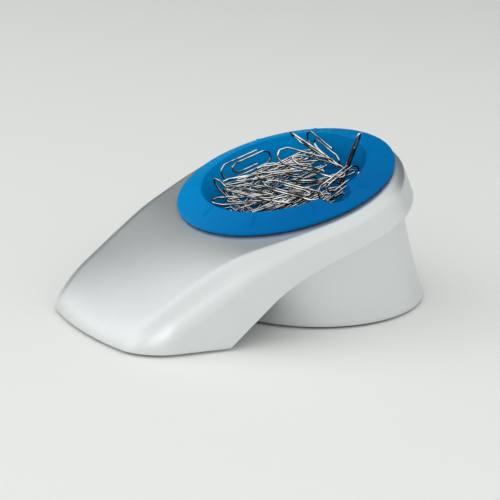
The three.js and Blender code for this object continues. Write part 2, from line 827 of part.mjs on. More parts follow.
// Fills the cup: first the clips placed by hand, then others dropped in one after another. Each
// is tried at several places and angles and let down along the cup's axis until it nearly
// touches the cup or another dropped clip. It stays where it came to lie lowest, clear of
// those placed by hand.
function clipPoses() {
  const random = seeded(clipSeed);
  const apart = wireDiameter + fitGap;
  const margin = wireDiameter / 2 + fitGap;
  const poses = shownClips.map(({ middle, heading, climb, roll }) => (
    new THREE.Matrix4()
      .makeRotationFromEuler(new THREE.Euler(radians(roll), radians(-climb), radians(heading), 'ZYX'))
      .setPosition(...middle)));
  const shown = poses.map(wireIn);
  const dropped = [];
  while (poses.length < clipCount) {
    let best = null;
    for (let attempt = 0; attempt < clipTries || best === null; attempt += 1) {
      const lean = () => radians(clipTilt) * (random() + random() - 1);
      const turnAbout = new THREE.Euler(lean(), lean(), 2 * Math.PI * random(), 'ZYX');
      const reach = (cupWaistRadius - clipWidth) * Math.sqrt(random());
      const bearing = 2 * Math.PI * random();
      const pose = new THREE.Matrix4().makeRotationFromEuler(turnAbout);
      pose.setPosition(reach * Math.cos(bearing), reach * Math.sin(bearing), 0);
      const wire = wireIn(pose);
      const stop = Math.max(...wire.map((p) => cupSurface(Math.hypot(p.x, p.y) + margin) + margin - p.z));
      if (stop > lipRise) continue;
      let height = lipRise + clipLength / 2;
      let free = Infinity;
      const lowered = () => wire.map((p) => new THREE.Vector3(p.x, p.y, p.z + height));
      for (let step = 0; step < 24 && free > 0.02 && height > stop; step += 1) {
        const now = lowered();
        free = height - stop;
        for (const other of dropped) {
          if (free < 0.02) break;
          free = Math.min(free, wireDistance(now, other) - apart);
        }
        height -= Math.max(free, 0);
      }
      if (best !== null && height >= best.height) continue;
      if (clearOf(lowered(), shown, apart)) best = { height, pose, wire: lowered() };
    }
    dropped.push(best.wire);
    poses.push(move(0, 0, best.height).multiply(best.pose));
  }
  return poses;
}

// The assembly
const holder = new THREE.Group();
const seat = new THREE.Group();
seat.applyMatrix4(cupFrame);
holder.add(seat);

function place(parent, name, geometry, material, matrix) {
  const mesh = new THREE.Mesh(geometry, material);
  mesh.name = name;
  if (matrix) mesh.applyMatrix4(matrix);
  parent.add(mesh);
}

place(holder, 'cover_shell', coverShell(), silverPaint);
place(holder, 'pedestal_shell', pedestalShell(), silverPaint);
place(holder, 'base_plate', basePlate(), greyPlastic);
place(holder, 'ballast_plate', ballastPlate(), bareSteel);
place(holder, 'foot_ring', footRing(), blackRubber, move(0, pedestalCentre, 0));
place(holder, 'front_foot_left', frontFoot(), blackRubber, move(-frontFootSpread, -frontFootReach, 0));
place(holder, 'front_foot_right', frontFoot(), blackRubber, move(frontFootSpread, -frontFootReach, 0));
screwPlaces.forEach(([x, y], k) => {
  place(holder, `base_screw_${k + 1}`, screw(), bareSteel, move(x, y, 0));
});
place(seat, 'magnet_carrier', magnetCarrier(), greyPlastic);
magnetPlaces.forEach((spot, k) => {
  const block = new THREE.BoxGeometry(magnetThickness, magnetLength, magnetHeight);
  place(seat, `magnet_${k + 1}`, block, ferrite, spot);
});
place(seat, 'clip_cup', clipCup(), blueRubbery);
clipPoses().forEach((pose, k) => {
  place(seat, `paper_clip_${String(k + 1).padStart(2, '0')}`, clipWire(), zincWire, pose);
});

// Set the origin on the desk, under the middle of the holder's outer box
holder.updateMatrixWorld(true);
const box = new THREE.Box3().setFromObject(holder, true);
const middle = box.getCenter(new THREE.Vector3());
holder.position.set(-middle.x, -middle.y, -box.min.z);

export default holder;
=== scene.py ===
"""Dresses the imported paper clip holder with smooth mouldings, a full cup of clips and finishes.

The holder is a silver cover with a long nose on a leaning pedestal. A blue cup of loose clips
sits in the cover, turns in it and lifts out. Lengths are in metres, +Z is up and the nose
points along -Y.
"""

import json
import math

import bpy
import numpy as np
from bpy.props import FloatProperty, FloatVectorProperty, IntProperty, PointerProperty
from mathutils import Matrix


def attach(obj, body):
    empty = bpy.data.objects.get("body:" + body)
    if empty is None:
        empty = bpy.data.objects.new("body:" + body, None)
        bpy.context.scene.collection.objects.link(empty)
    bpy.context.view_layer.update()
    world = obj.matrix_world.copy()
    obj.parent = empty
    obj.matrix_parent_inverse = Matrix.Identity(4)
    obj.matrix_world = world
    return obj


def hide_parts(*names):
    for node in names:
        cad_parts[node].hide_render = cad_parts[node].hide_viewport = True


bl_info = {
    "name": "Paper clip holder",
    "version": (1, 0, 0),
    "blender": (4, 5, 0),
    "location": "3D View > Sidebar > Clip holder",
    "description": "Dresses the packed paper clip holder and sets it on a plain stage",
    "category": "Object",
}

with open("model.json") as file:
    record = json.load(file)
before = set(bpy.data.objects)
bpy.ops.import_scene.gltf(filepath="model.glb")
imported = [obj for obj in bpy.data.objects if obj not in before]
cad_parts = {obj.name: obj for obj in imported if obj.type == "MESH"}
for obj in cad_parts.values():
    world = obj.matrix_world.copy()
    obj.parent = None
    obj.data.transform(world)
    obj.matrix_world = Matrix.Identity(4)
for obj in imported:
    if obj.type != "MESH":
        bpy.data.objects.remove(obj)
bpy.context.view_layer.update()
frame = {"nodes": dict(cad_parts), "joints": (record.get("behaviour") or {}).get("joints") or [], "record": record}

# The cup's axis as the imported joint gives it: every leaning piece is placed from it
turn_joint = next(joint for joint in frame["joints"] if joint["name"] == "cup_turn")
RIM = np.array(turn_joint["pos_m"], float)
LEAN = math.atan2(-turn_joint["axis"][1], turn_joint["axis"][2])
AXIS = np.array([0.0, -math.sin(LEAN), math.cos(LEAN)])
UPHILL = np.array([0.0, math.cos(LEAN), math.sin(LEAN)])

# Every search for a radius or height of the cover starts between these
NEAR, FAR = 0.001, 0.15

# A turned piece that closes on its axis starts and ends on a ring this small
TINY = 0.0001

# Rounds after which a height or radius that depends on itself has settled
EDGE_ROUNDS, ROUNDS = 12, 30

HEAP_RADIUS = 0.024
DROP_STEPS = 20
LEAST_STEP = 0.00004
TOUCHING = 0.00003

FLOOR_SIZE = 12.0

# The lamps' sizes and places, in metres from the holder's middle on the desk. They give one
# wide soft light from the left round to the right, as the silver mirrors it in the photograph
LAMPS = {"left": (1.1, (-0.78, -0.55, 0.66)), "front": (0.8, (-0.09, -1.05, 0.45)),
         "right": (0.45, (0.76, -0.68, 0.52))}


def length(name, description, millimetres):
    """A length that a user can change, given here in millimetres."""
    return FloatProperty(name=name, description=description, default=millimetres / 1000,
                         unit="LENGTH", precision=5)


def angle(name, description, degrees):
    """An angle that a user can change, given here in degrees."""
    return FloatProperty(name=name, description=description, default=math.radians(degrees),
                         subtype="ANGLE")


def share(name, description, value):
    """A share from 0 to 1."""
    return FloatProperty(name=name, description=description, default=value, min=0, max=1,
                         subtype="FACTOR")


def power(name, description, watts):
    """A lamp's power, in watts."""
    return FloatProperty(name=name, description=description, default=watts, min=0)


def number_of(name, description, number):
    """A whole number of things."""
    return IntProperty(name=name, description=description, default=number, min=0)


def colour(name, description, red, green, blue):
    """A colour that a user can change."""
    return FloatVectorProperty(name=name, description=description, default=(red, green, blue),
                               min=0, max=1, subtype="COLOR")


class CoverSizes(bpy.types.PropertyGroup):
    """Sizes of the silver cover."""
    rim_height: length("Rim height", "From the cover's lower edge to the cup's rim plane", 43.3)
    nose_reach: length("Nose reach", "From the cup's centre to the tip of the nose", 84.65)
    bow_radius: length("Bow radius", "Plan radius of the nose's front", 101.7)
    corner_radius: length("Corner radius", "Plan radius of the nose's corners", 10)
    side_flare: angle("Side flare", "Half the angle between the sides in plan", 11.46)
    side_reach: length("Side reach", "Radius of the round rear at desk level", 48.97)
    side_draft: angle("Side draft", "How far the sides lean in", 4.8)
    wall: length("Wall", "Thickness of the moulding", 2.2)
    rear_ridge: length("Rear ridge", "Radius of the upper edge behind the cup", 3.6)
    nose_ridge: length("Nose ridge", "Radius of the upper edge along the nose", 8)
    tip_edge: length("Tip edge", "Radius of the upper edge at the tip", 3)
    tip_run: length("Tip run", "How soon the tip's edge grows to the ridge", 15)
    ridge_start: length("Ridge start", "Where the nose's ridge starts to get tighter", -50)
    ridge_end: length("Ridge end", "Where the rear ridge is reached", -10)
    drop: length("Drop", "The seat's depth under the rim plane", 0.9)
    nose_start: length("Nose start", "Where the seat plane turns into the nose", 36)
    nose_lift: length("Nose lift", "Height of the top at the tip", 2.4)
    nose_angle: angle("Nose angle", "Slope of the top at the tip", 45)
    nose_handle: length("Nose handle", "How far the tip's slope holds", 12.5)
    seat_handle: length("Seat handle", "How far the seat's slope holds", 16.7)
    crown: length("Crown", "How far the nose's top falls to its sides", 2.0)
    crown_width: length("Crown width", "Half width at which the crown is measured", 36)
    crown_start: length("Crown start", "Where the crown begins", 32)
    crown_end: length("Crown end", "Where the crown is full", 64)
    edge_flat: length("Edge flat", "Where the lower edge leaves the desk", -47.8)
    edge_rise: angle("Edge rise", "Slope of the lower edge behind the nose", 41.5)
    edge_straight: length("Edge straight", "Length of that slope", 22)
    edge_fall: length("Edge fall", "The collar's depth under the rim plane", 12.3)
    edge_tilt: angle("Edge tilt", "Slope of the collar's lower edge", 14)
    edge_rear: length("Edge rear", "Where the collar's lower edge gets straight", 8)
    edge_handle: length("Edge handle", "Softness of the lower edge's bend", 11)
    edge_round: length("Edge round", "Rounding of thin edges", 0.3)


class WellSizes(bpy.types.PropertyGroup):
    """Sizes of the well in the cover, about the cup's axis."""
    radius: length("Radius", "Inner radius of the upper well", 38.2)
    wall: length("Wall", "Wall of the upper well", 2.0)
    shelf: length("Shelf", "Depth of the step under the rim plane", 8.5)
    lower_radius: length("Lower radius", "Inner radius under the step", 33.6)
    lower_wall: length("Lower wall", "Wall under the step", 1.8)
    depth: length("Depth", "Depth of the floor under the rim plane", 16.5)
    floor: length("Floor", "Thickness of the floor", 2.0)
    hole: length("Hole", "Radius of the hole in the floor", 18)


class PedestalSizes(bpy.types.PropertyGroup):
    """Sizes of the leaning pedestal."""
    radius: length("Radius", "Radius at the desk", 42.5)
    centre: length("Centre", "Centre behind the rim's centre, at the desk", 11.9)
    waist: length("Waist", "How much narrower it is over its flared foot", 1.1)
    flare: length("Flare", "Height of the flared foot", 20)
    wall: length("Wall", "Thickness of the moulding", 1.2)
    lip: length("Lip", "Width and height of the lip over the base plate", 1.2)
    lip_height: length("Lip height", "Height of the base plate's upper side, with its gap", 2.7)
    gap: length("Gap", "Gap between the pedestal's top and the well's step", 0.3)
    boss_spread: length("Boss spread", "Screw bosses, sideways from the middle", 20)
    boss_reach: length("Boss reach", "Screw bosses, along the holder from its centre", 18.5)
    boss_radius: length("Boss radius", "Radius of a screw boss", 3.6)
    boss_foot: length("Boss foot", "Height of a boss's lower end", 7.0)
    pilot_radius: length("Pilot radius", "Radius of a boss's hole", 1.65)
    pilot_top: length("Pilot top", "Height that a boss's hole reaches", 16.7)
    post_radius: length("Post radius", "Radius of the posts over the front feet", 5.8)
    post_spread: length("Post spread", "Front feet, sideways from the middle", 24)
    post_reach: length("Post reach", "Front feet, forwards of the rim's centre", 70)
    post_foot: length("Post foot", "Height of a post's lower end", 1.6)


class CupSizes(bpy.types.PropertyGroup):
    """Sizes of the blue cup, as radius about its axis and height over the rim plane."""
    rim_radius: length("Rim radius", "Outer radius of the flange", 40.5)
    rim_edge: length("Rim edge", "Thickness of the rim's edge", 1.0)
    rim_top: length("Rim top", "Height of the flange at its outer edge", 0.8)
    rim_round: length("Rim round", "Rounding of the rim's edge", 0.35)
    rim_chamfer: length("Rim chamfer", "Width of the chamfer under the rim", 0.9)
    flange: length("Flange", "Thickness of the flange", 1.5)
    lip_radius: length("Lip radius", "Radius of the bowl's mouth", 30.5)
    lip_rise: length("Lip rise", "Height of the bowl's lip", 4.4)
    lip_round: length("Lip round", "Rounding of the lip", 0.9)
    wall: length("Wall", "Thickness of the bowl", 1.8)
    depth: length("Depth", "Depth of the floor under the rim plane", 13)
    floor_radius: length("Floor radius", "Radius of the flat floor", 20)
    floor_round: length("Floor round", "Height of the round between floor and wall", 6)
    waist_radius: length("Waist radius", "Radius of the bowl where its wall starts", 26.2)
    rib_count: number_of("Ribs", "Grip ribs round the flange", 10)
    rib_width: length("Rib width", "Width of a grip rib", 2.4)
    rib_height: length("Rib height", "Height of a grip rib", 0.75)
    rib_length: length("Rib length", "Length of a grip rib", 6.2)
    rib_inset: length("Rib inset", "From the lip to a rib", 0.6)
    scoop_angle: angle("Scoop angle", "Where the finger scoop stands", 2)
    scoop_centre: length("Scoop centre", "Radius of the scoop's centre", 30.3)
    scoop_depth: length("Scoop depth", "Half size of the scoop outwards", 6.0)
    scoop_width: length("Scoop width", "Half size of the scoop sideways", 6.1)
    scoop_fall: length("Scoop fall", "Half height of the scoop", 7)
    scoop_lift: length("Scoop lift", "Height of the scoop's centre", 3.5)


class ClipSizes(bpy.types.PropertyGroup):
    """Sizes of a paper clip, and the loose clips that fill the heap up."""
    length: length("Length", "Length over all", 26)
    width: length("Width", "Width over all", 7)
    wire: length("Wire", "Diameter of the wire's line in the flat clip", 0.9)
    drawn: length("Drawn wire", "Diameter of the wire as it is drawn", 0.72)
    shoulder: length("Shoulder", "Length of a bend's sloping shoulders", 2.6)
    bend_share: share("Bend share", "Share of the width that a shoulder takes", 0.27)
    inner_top: length("Inner top", "End of the inner loop", 19.6)
    outer_end: length("Outer end", "Where the outer leg ends", 5.5)
    inner_end: length("Inner end", "Where the inner leg ends", 7.5)
    leg_gap: length("Leg gap", "Between the middles of neighbouring legs", 1.25)
    taper: length("Taper", "How much the inner loop closes", 0.1)
    corner: length("Corner", "How far the wire's bends reach round a corner", 0.7)
    packed: number_of("Packed", "Clips in the packed frame", 32)
    loose: number_of("Loose", "Further clips that fill the heap, at most", 110)
    tries: number_of("Tries", "Random poses that are tried for the loose clips", 20000)
    packed_sides: number_of("Packed sides", "Sides of a packed clip's wire", 10)
    loose_sides: number_of("Loose sides", "Sides of a loose clip's wire", 7)
    gap: length("Gap", "Least gap between wires as drawn", 0.1)
    grain: angle("Grain", "Direction in which most loose clips lie", 57)
    grain_spread: angle("Grain spread", "How far their directions differ", 32)
    climb_spread: angle("Climb spread", "How far they climb or fall", 11)
    roll_spread: angle("Roll spread", "How far they are rolled onto their edges", 55)
    heap_top: length("Heap top", "Greatest height of a loose clip over the rim's centre", 1.2)
    seed: IntProperty(name="Seed", description="Start of the random numbers", default=5)


class Colours(bpy.types.PropertyGroup):
    """The finishes' colours, each a deeper and a lighter tone that a pattern mixes."""
    silver: colour("Silver", "Paint of cover and pedestal", 0.69, 0.715, 0.72)
    silver_light: colour("Light silver", "Flakes in the silver paint", 0.765, 0.79, 0.79)
    # The two blues are mixed mostly along X as painted light from the left, with a little random tone
    blue: colour("Blue", "The cup's plastic", 0.0, 0.13, 0.385)
    blue_light: colour("Light blue", "The cup's plastic on its lighter side", 0.0, 0.31, 0.72)
    grey: colour("Grey", "Plastic of the hidden parts", 0.075, 0.08, 0.085)
    grey_light: colour("Light grey", "Grain of the grey plastic", 0.11, 0.116, 0.122)
    black: colour("Black", "Rubber of the feet", 0.012, 0.012, 0.013)
    black_light: colour("Dusty black", "Bloom on the rubber", 0.028, 0.028, 0.028)
    # The two zinc tones are painted light: the dark one is painted shade on the wire's lower side, the light one a
    # painted highlight on its upper side
    zinc: colour("Dark zinc", "The clips' wire where it faces down", 0.035, 0.035, 0.032)
    zinc_light: colour("Zinc", "The clips' wire where it faces up", 1.0, 0.995, 0.975)
    steel: colour("Steel", "Plate and screws", 0.33, 0.34, 0.35)
    steel_light: colour("Light steel", "Rolling streaks on the steel", 0.47, 0.48, 0.49)
    ferrite: colour("Ferrite", "The magnets", 0.022, 0.022, 0.024)
    ferrite_light: colour("Light ferrite", "Grains of the magnets", 0.045, 0.045, 0.048)


class StageSettings(bpy.types.PropertyGroup):
    """The camera, as fitted to the photograph, and the lamps."""
    azimuth: angle("Azimuth", "Camera direction round the holder", 56.73)
    elevation: angle("Elevation", "Camera direction over the desk", 18.2)
    roll: angle("Roll", "Camera turned about its own line of sight", 1.513)
    distance: length("Distance", "From the camera to the point it looks at", 852.26)
    target_y: length("Target Y", "The point looked at, along the holder", -14.75)
    target_z: length("Target Z", "The point looked at, over the cover's lower edge", 19.084)
    lens: FloatProperty(name="Lens", description="Focal length on a 36 mm sensor, in millimetres",
                        default=168.61)
    left_power: power("Left power", "Lamp at the front left, in watts", 1.0)
    front_power: power("Front power", "Lamp in front of the nose, in watts", 0.6)
    right_power: power("Right power", "Lamp at the front right, in watts", 0.56)
    sky: FloatProperty(name="Sky", description="Strength of the light from all round",
                       default=0.93)
    card_azimuth: angle("Card azimuth", "Direction of the dark card behind the holder", 140)
    card_distance: length("Card distance", "From the holder to the dark card", 900)
    card_width: length("Card width", "Width of the dark card", 2250)
    card_foot: length("Card foot", "Height of the dark card's lower edge", 40)
    card_height: length("Card height", "Height of the dark card's upper edge", 1000)


def settings():
    """The scene's sizes and settings of this holder."""
    return bpy.context.scene.clip_holder


def require(condition, message):
    """Stops the script where a piece can't be made."""
    if not condition:
        raise RuntimeError(message)


def local_offset():
    """The place of the cup-centred origin: on the cover's lower edge, under the rim's centre."""
    return RIM - np.array([0.0, 0.0, settings().cover.rim_height])


def from_cup(x, up, height):
    """Points from the leaning cup's coordinates: sideways, uphill and along its axis."""
    return (RIM + np.asarray(x)[..., None] * np.array([1.0, 0.0, 0.0])
            + np.asarray(up)[..., None] * UPHILL + np.asarray(height)[..., None] * AXIS)


def rounded_max(a, b, radius):
    """The greater of two distances with their corner rounded: the length of the parts of
    (a + r, b + r) above 0, less r, or plainly the greater one deep inside."""
    return (np.minimum(np.maximum(a, b), -radius)
            + np.hypot(np.maximum(a + radius, 0), np.maximum(b + radius, 0)))


def crossing(rising, low, high, steps=42):
    """Where a rising function crosses zero, by halving every element's span at once."""
    low, high = np.broadcast_arrays(np.asarray(low, float), np.asarray(high, float))
    for _ in range(steps):
        middle = (low + high) / 2
        above = rising(middle) > 0
        high = np.where(above, middle, high)
        low = np.where(above, low, middle)
    return (low + high) / 2


def smooth_step(value, low, high):
    """0 below low, 1 above high and 3t^2 - 2t^3 between them."""
    t = np.clip((value - low) / (high - low), 0, 1)
    return t * t * (3 - 2 * t)


def bezier(a, b, c, d, t):
    """A cubic curve's coordinate: (1-t)^3 a + 3(1-t)^2 t b + 3(1-t) t^2 c + t^3 d."""
    s = 1 - t
    return s ** 3 * a + 3 * s * s * t * b + 3 * s * t * t * c + t ** 3 * d


class CoverShape:
    """The cover's skin as a distance from it, on arrays of points in the cup-centred frame."""

    def __init__(self, sizes):
        self.s = sizes
        self.tan_draft = math.tan(sizes.side_draft)
        self.tan_lean = math.tan(LEAN)
        reach, start = sizes.nose_reach, sizes.nose_start
        t = np.linspace(0, 1, 6000)
        ends = [-reach, -reach + sizes.nose_handle * math.cos(sizes.nose_angle),
                -start - sizes.seat_handle, -start]
        lift = sizes.nose_lift
        heights = [lift, lift + sizes.nose_handle * math.sin(sizes.nose_angle),
                   self.seat(ends[2]), self.seat(-start)]
        self.nose_y = bezier(*ends, t)
        self.nose_z = bezier(*heights, t)
        rise_y = sizes.edge_flat + sizes.edge_straight * math.cos(sizes.edge_rise)
        rise_z = sizes.edge_straight * math.sin(sizes.edge_rise)
        before = sizes.edge_rear - sizes.edge_handle
        bend_y = bezier(rise_y, rise_y + sizes.edge_handle * math.cos(sizes.edge_rise),
                        before, sizes.edge_rear, t)
        bend_z = bezier(rise_z, rise_z + sizes.edge_handle * math.sin(sizes.edge_rise),
                        self.collar(before), self.collar(sizes.edge_rear), t)
        far = 1.0
        self.edge_y = np.concatenate([[-far, sizes.edge_flat], bend_y, [far]])
        self.edge_z = np.concatenate([[0, 0], bend_z, [self.collar(far)]])

    def seat(self, y):
        """The seat plane's height: parallel to the rim plane and just under it."""
        return self.s.rim_height - self.s.drop / math.cos(LEAN) + y * self.tan_lean

    def collar(self, y):
        """Height of the collar's straight lower edge behind the cup."""
        return (self.s.rim_height - self.s.edge_fall / math.cos(LEAN)
                + y * math.tan(self.s.edge_tilt))

    def lower_edge(self, y):
        """Height of the lower edge: flat under the nose, a slope, a bend, then the collar."""
        return np.interp(y, self.edge_y, self.edge_z)

    def top(self, x, y):
        """Height of the top: the middle line less the crown's fall, which goes as x squared."""
        tip = self.s.nose_lift + (y + self.s.nose_reach) * math.tan(self.s.nose_angle)
        nose = np.where(y <= -self.s.nose_reach, tip, np.interp(y, self.nose_y, self.nose_z))
        middle = np.where(y >= -self.s.nose_start, self.seat(y), nose)
        run = smooth_step(-y, self.s.crown_start, self.s.crown_end)
        return middle - self.s.crown * run * (x / self.s.crown_width) ** 2

    def outline(self, x, y, z):
        """Distance in plan from the outline at a height: flat flared sides tangent to a circle
        about the leaning axis, met by the nose's bow with a rounded corner."""
        centre = (self.s.rim_height - z) * self.tan_lean
        radius = self.s.side_reach - z * self.tan_draft + centre * math.sin(self.s.side_flare)
        sine, cosine = math.sin(self.s.side_flare), math.cos(self.s.side_flare)
        along = np.abs(x) * sine + (y - centre) * cosine
        flat = np.abs(x) * cosine - (y - centre) * sine - radius
        bow = (np.hypot(x, y + self.s.nose_reach - self.s.bow_radius) - self.s.bow_radius
               + z * self.tan_draft)
        side = np.where(along > 0, np.hypot(x, y - centre) - radius, flat)
        return rounded_max(side, bow, self.s.corner_radius)

    def edge_radius(self, y):
        """Radius of the upper edge: small at the tip, widest on the nose, less to the rear."""
        to_rear = smooth_step(y, self.s.ridge_start, self.s.ridge_end)
        ridge = self.s.nose_ridge + (self.s.rear_ridge - self.s.nose_ridge) * to_rear
        from_tip = smooth_step(y + self.s.nose_reach, 0, self.s.tip_run)
        return self.s.tip_edge + (ridge - self.s.tip_edge) * from_tip

    def distance(self, x, y, z):
        """Distance from the skin: the side and the top with their edge rounded."""
        side = self.outline(x, y, z) * math.cos(self.s.side_draft)
        half = 0.0005
        slope = (self.top(x, y + half) - self.top(x, y - half)) / (2 * half)
        top = (z - self.top(x, y)) / np.hypot(1, slope)
        return rounded_max(side, top, self.edge_radius(y))

    def height(self, x, y, inset):
        """Height at which the skin, sunk by an inset, lies over a place in plan."""
        return crossing(lambda z: self.distance(x, y, z) + inset, np.full(x.shape, NEAR), 0.07)

    def plan_reach(self, angles, radius, height):
        """Where a direction in plan meets the circle of a radius about the leaning axis at a
        height along it: the positive root of the circle's quadratic. Gives the reach and the
        angle about the axis."""
        shift = height * math.sin(LEAN)
        squash = math.cos(LEAN) ** 2
        a = np.cos(angles) ** 2 + np.sin(angles) ** 2 / squash
        b = 2 * np.sin(angles) * shift / squash
        c = shift ** 2 / squash - radius ** 2
        reach = (-b + np.sqrt(b * b - 4 * a * c)) / (2 * a)
        uphill = (reach * np.sin(angles) + shift) / math.cos(LEAN)
        return reach, np.arctan2(uphill, reach * np.cos(angles))

    def stations(self, count):
        """Directions in plan, closer where the outline bends: even steps of the outline's
        length plus a share of its turning, with the lower edge's corners among them."""
        samples = 1441
        fine = np.linspace(-np.pi / 2, np.pi / 2, samples)
        reach = crossing(lambda r: self.outline(r * np.cos(fine), r * np.sin(fine), 0.0),
                         np.full(fine.shape, NEAR), FAR)
        x, y = reach * np.cos(fine), reach * np.sin(fine)
        heading = np.unwrap(np.arctan2(np.diff(y), np.diff(x)))
        turning = np.abs(np.diff(heading, prepend=heading[0]))
        crowding = 0.03
        steps = np.hypot(np.diff(x), np.diff(y)) + crowding * turning
        measure = np.concatenate([[0], np.cumsum(steps)])
        right = np.interp(np.linspace(0, measure[-1], count // 2 + 1), measure, fine)
        front = samples // 2 + 1
        corner = np.interp(self.s.edge_flat, y[:front], fine[:front])
        right = np.sort(np.append(right, corner))
        left = np.pi - right[1:-1][::-1]
        return np.concatenate([right, left])

    def skin(self, angles, inset, end_reach, side_rows, edge_rows, top_rows, lift=0.0):
        """Rows of points up the skin sunk by an inset, from the lower edge to a given reach on
        the top. Guide points go up the side, round the edge and over the top, and each is moved
        onto the skin along its line from a core."""
        cosine, sine = np.cos(angles), np.sin(angles)

        def side_at(z):
            return crossing(lambda r: self.outline(r * cosine, r * sine, z) + inset,
                            np.full(angles.shape, NEAR), FAR)

        low = np.zeros(angles.shape)
        for _ in range(EDGE_ROUNDS):
            low = self.lower_edge(side_at(low) * sine) + lift
        ridge = np.full(angles.shape, self.seat(0.0))
        slant = 1.2
        for _ in range(ROUNDS):
            reach = side_at(ridge)
            ridge = (ridge + self.top(reach * cosine, reach * sine) - inset * slant) / 2
        ridge_reach = side_at(ridge)
        edge = self.edge_radius(ridge_reach * sine)
        most_up, most_across = 0.7, 0.5
        up_to = np.minimum(edge, most_up * (ridge - low))
        across = np.minimum(edge, most_across * (ridge_reach - end_reach))
        guides = []
        for k in range(side_rows + 1):
            z = low + (ridge - up_to - low) * k / side_rows
            guides.append((side_at(z), z))
        for k in range(1, edge_rows):
            part = 2 * k / edge_rows - 1
            if part < 0:
                z = ridge + part * up_to
                guides.append((side_at(z), z))
            else:
                r = ridge_reach - part * across
                guides.append((r, self.top(r * cosine, r * sine) - inset))
        for k in range(top_rows + 1):
            r = ridge_reach - across + (end_reach - ridge_reach + across) * k / top_rows
            guides.append((r, self.top(r * cosine, r * sine) - inset))
        reach = np.array([g[0] for g in guides])
        height = np.array([g[1] for g in guides])
        core = 0.009
        t = crossing(lambda t: self.distance(reach * t * cosine, reach * t * sine,
                                             core + (height - core) * t) + inset,
                     np.full(reach.shape, 0.05), 1.6)
        points = np.stack([reach * t * cosine, reach * t * sine, core + (height - core) * t],
                          axis=-1)
        first = crossing(lambda r: self.distance(r * cosine, r * sine, low) + inset,
                         np.full(angles.shape, NEAR), FAR)
        points[0] = np.stack([first * cosine, first * sine, low], axis=-1)
        return points


def grid_faces(rows, columns, closed_rows=False):
    """Quads of a grid whose columns close into a ring, and whose rows may too."""
    last = rows if closed_rows else rows - 1
    i, j = np.meshgrid(np.arange(last), np.arange(columns), indexing="ij")
    down, along = (i + 1) % rows, (j + 1) % columns
    return np.stack([i * columns + j, i * columns + along, down * columns + along,
                     down * columns + j], axis=-1).reshape(-1, 4)


def add(name, data):
    """A new object in the scene, at the origin."""
    thing = bpy.data.objects.new(name, data)
    bpy.context.scene.collection.objects.link(thing)
    return thing


def put_mesh(name, points, faces, body, slot, replaced=(), sharp=math.radians(35), marks=None):
    """Makes a mesh object from arrays, with faces out, and gives it its body and finish.
    Marks are named values for its points, which the finish can read."""
    mesh = bpy.data.meshes.new(name)
    mesh.from_pydata(points.reshape(-1, 3).tolist(), [], [list(face) for face in faces])
    for mark, values in (marks or {}).items():
        mesh.attributes.new(mark, "FLOAT", "POINT").data.foreach_set("value", values)
    mesh.validate()
    thing = add(name, mesh)
    mesh.shade_smooth()
    mesh.set_sharp_from_angle(angle=sharp)
    mesh.materials.append(finish(slot))
    require(len(mesh.polygons) > 0, f"{name} has no faces")
    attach(thing, body)
    if replaced:
        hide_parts(*replaced)
    return thing


def ring_rows(profile, angles, place):
    """A turned shape: every [radius, height] of a profile carried round by a place function.
    Both may be one number or a number for each angle."""
    radius, height = (np.array([np.broadcast_to(pair[k], angles.shape) for pair in profile])
                      for k in (0, 1))
    return place(radius * np.cos(angles), radius * np.sin(angles), height)


def upright(x, y):
    """A place function for shapes that are turned about an upright line at x, y."""
    offset = local_offset()

    def place(across, along, height):
        return np.stack([across + x, along + y, height], axis=-1) + offset
    return place


def fan_faces(rows, columns, first_pole, last_pole):
    """Triangles from the first and last ring of a grid to two poles."""
    j = np.arange(columns)
    along = (j + 1) % columns
    first = np.stack([np.full(columns, first_pole), along, j], axis=-1)
    base = (rows - 1) * columns
    last = np.stack([np.full(columns, last_pole), base + j, base + along], axis=-1)
    return first.tolist() + last.tolist()


def put_turned(name, profile, angles, place, closed, *rest, **more):
    """A turned piece. A closed profile makes a ring, and an open one ends in two poles."""
    rows = ring_rows(profile, angles, place)
    faces = grid_faces(len(profile), len(angles), closed).tolist()
    points = rows.reshape(-1, 3)
    if not closed:
        poles = [rows[0].mean(axis=0), rows[-1].mean(axis=0)]
        faces += fan_faces(len(profile), len(angles), len(points), len(points) + 1)
        points = np.vstack([points, poles])
    return put_mesh(name, points, faces, *rest, **more)


class Signal:
    """A value or colour that a node gives. Its sums and products add nodes."""

    def __init__(self, shader, socket):
        self.shader = shader
        self.socket = socket

    def __add__(self, other):
        return self.shader.maths("ADD", self, other)

    def __sub__(self, other):
        return self.shader.maths("SUBTRACT", self, other)

    def __rsub__(self, other):
        return self.shader.maths("SUBTRACT", other, self)

    def __mul__(self, other):
        return self.shader.maths("MULTIPLY", self, other)

    __radd__ = __add__
    __rmul__ = __mul__


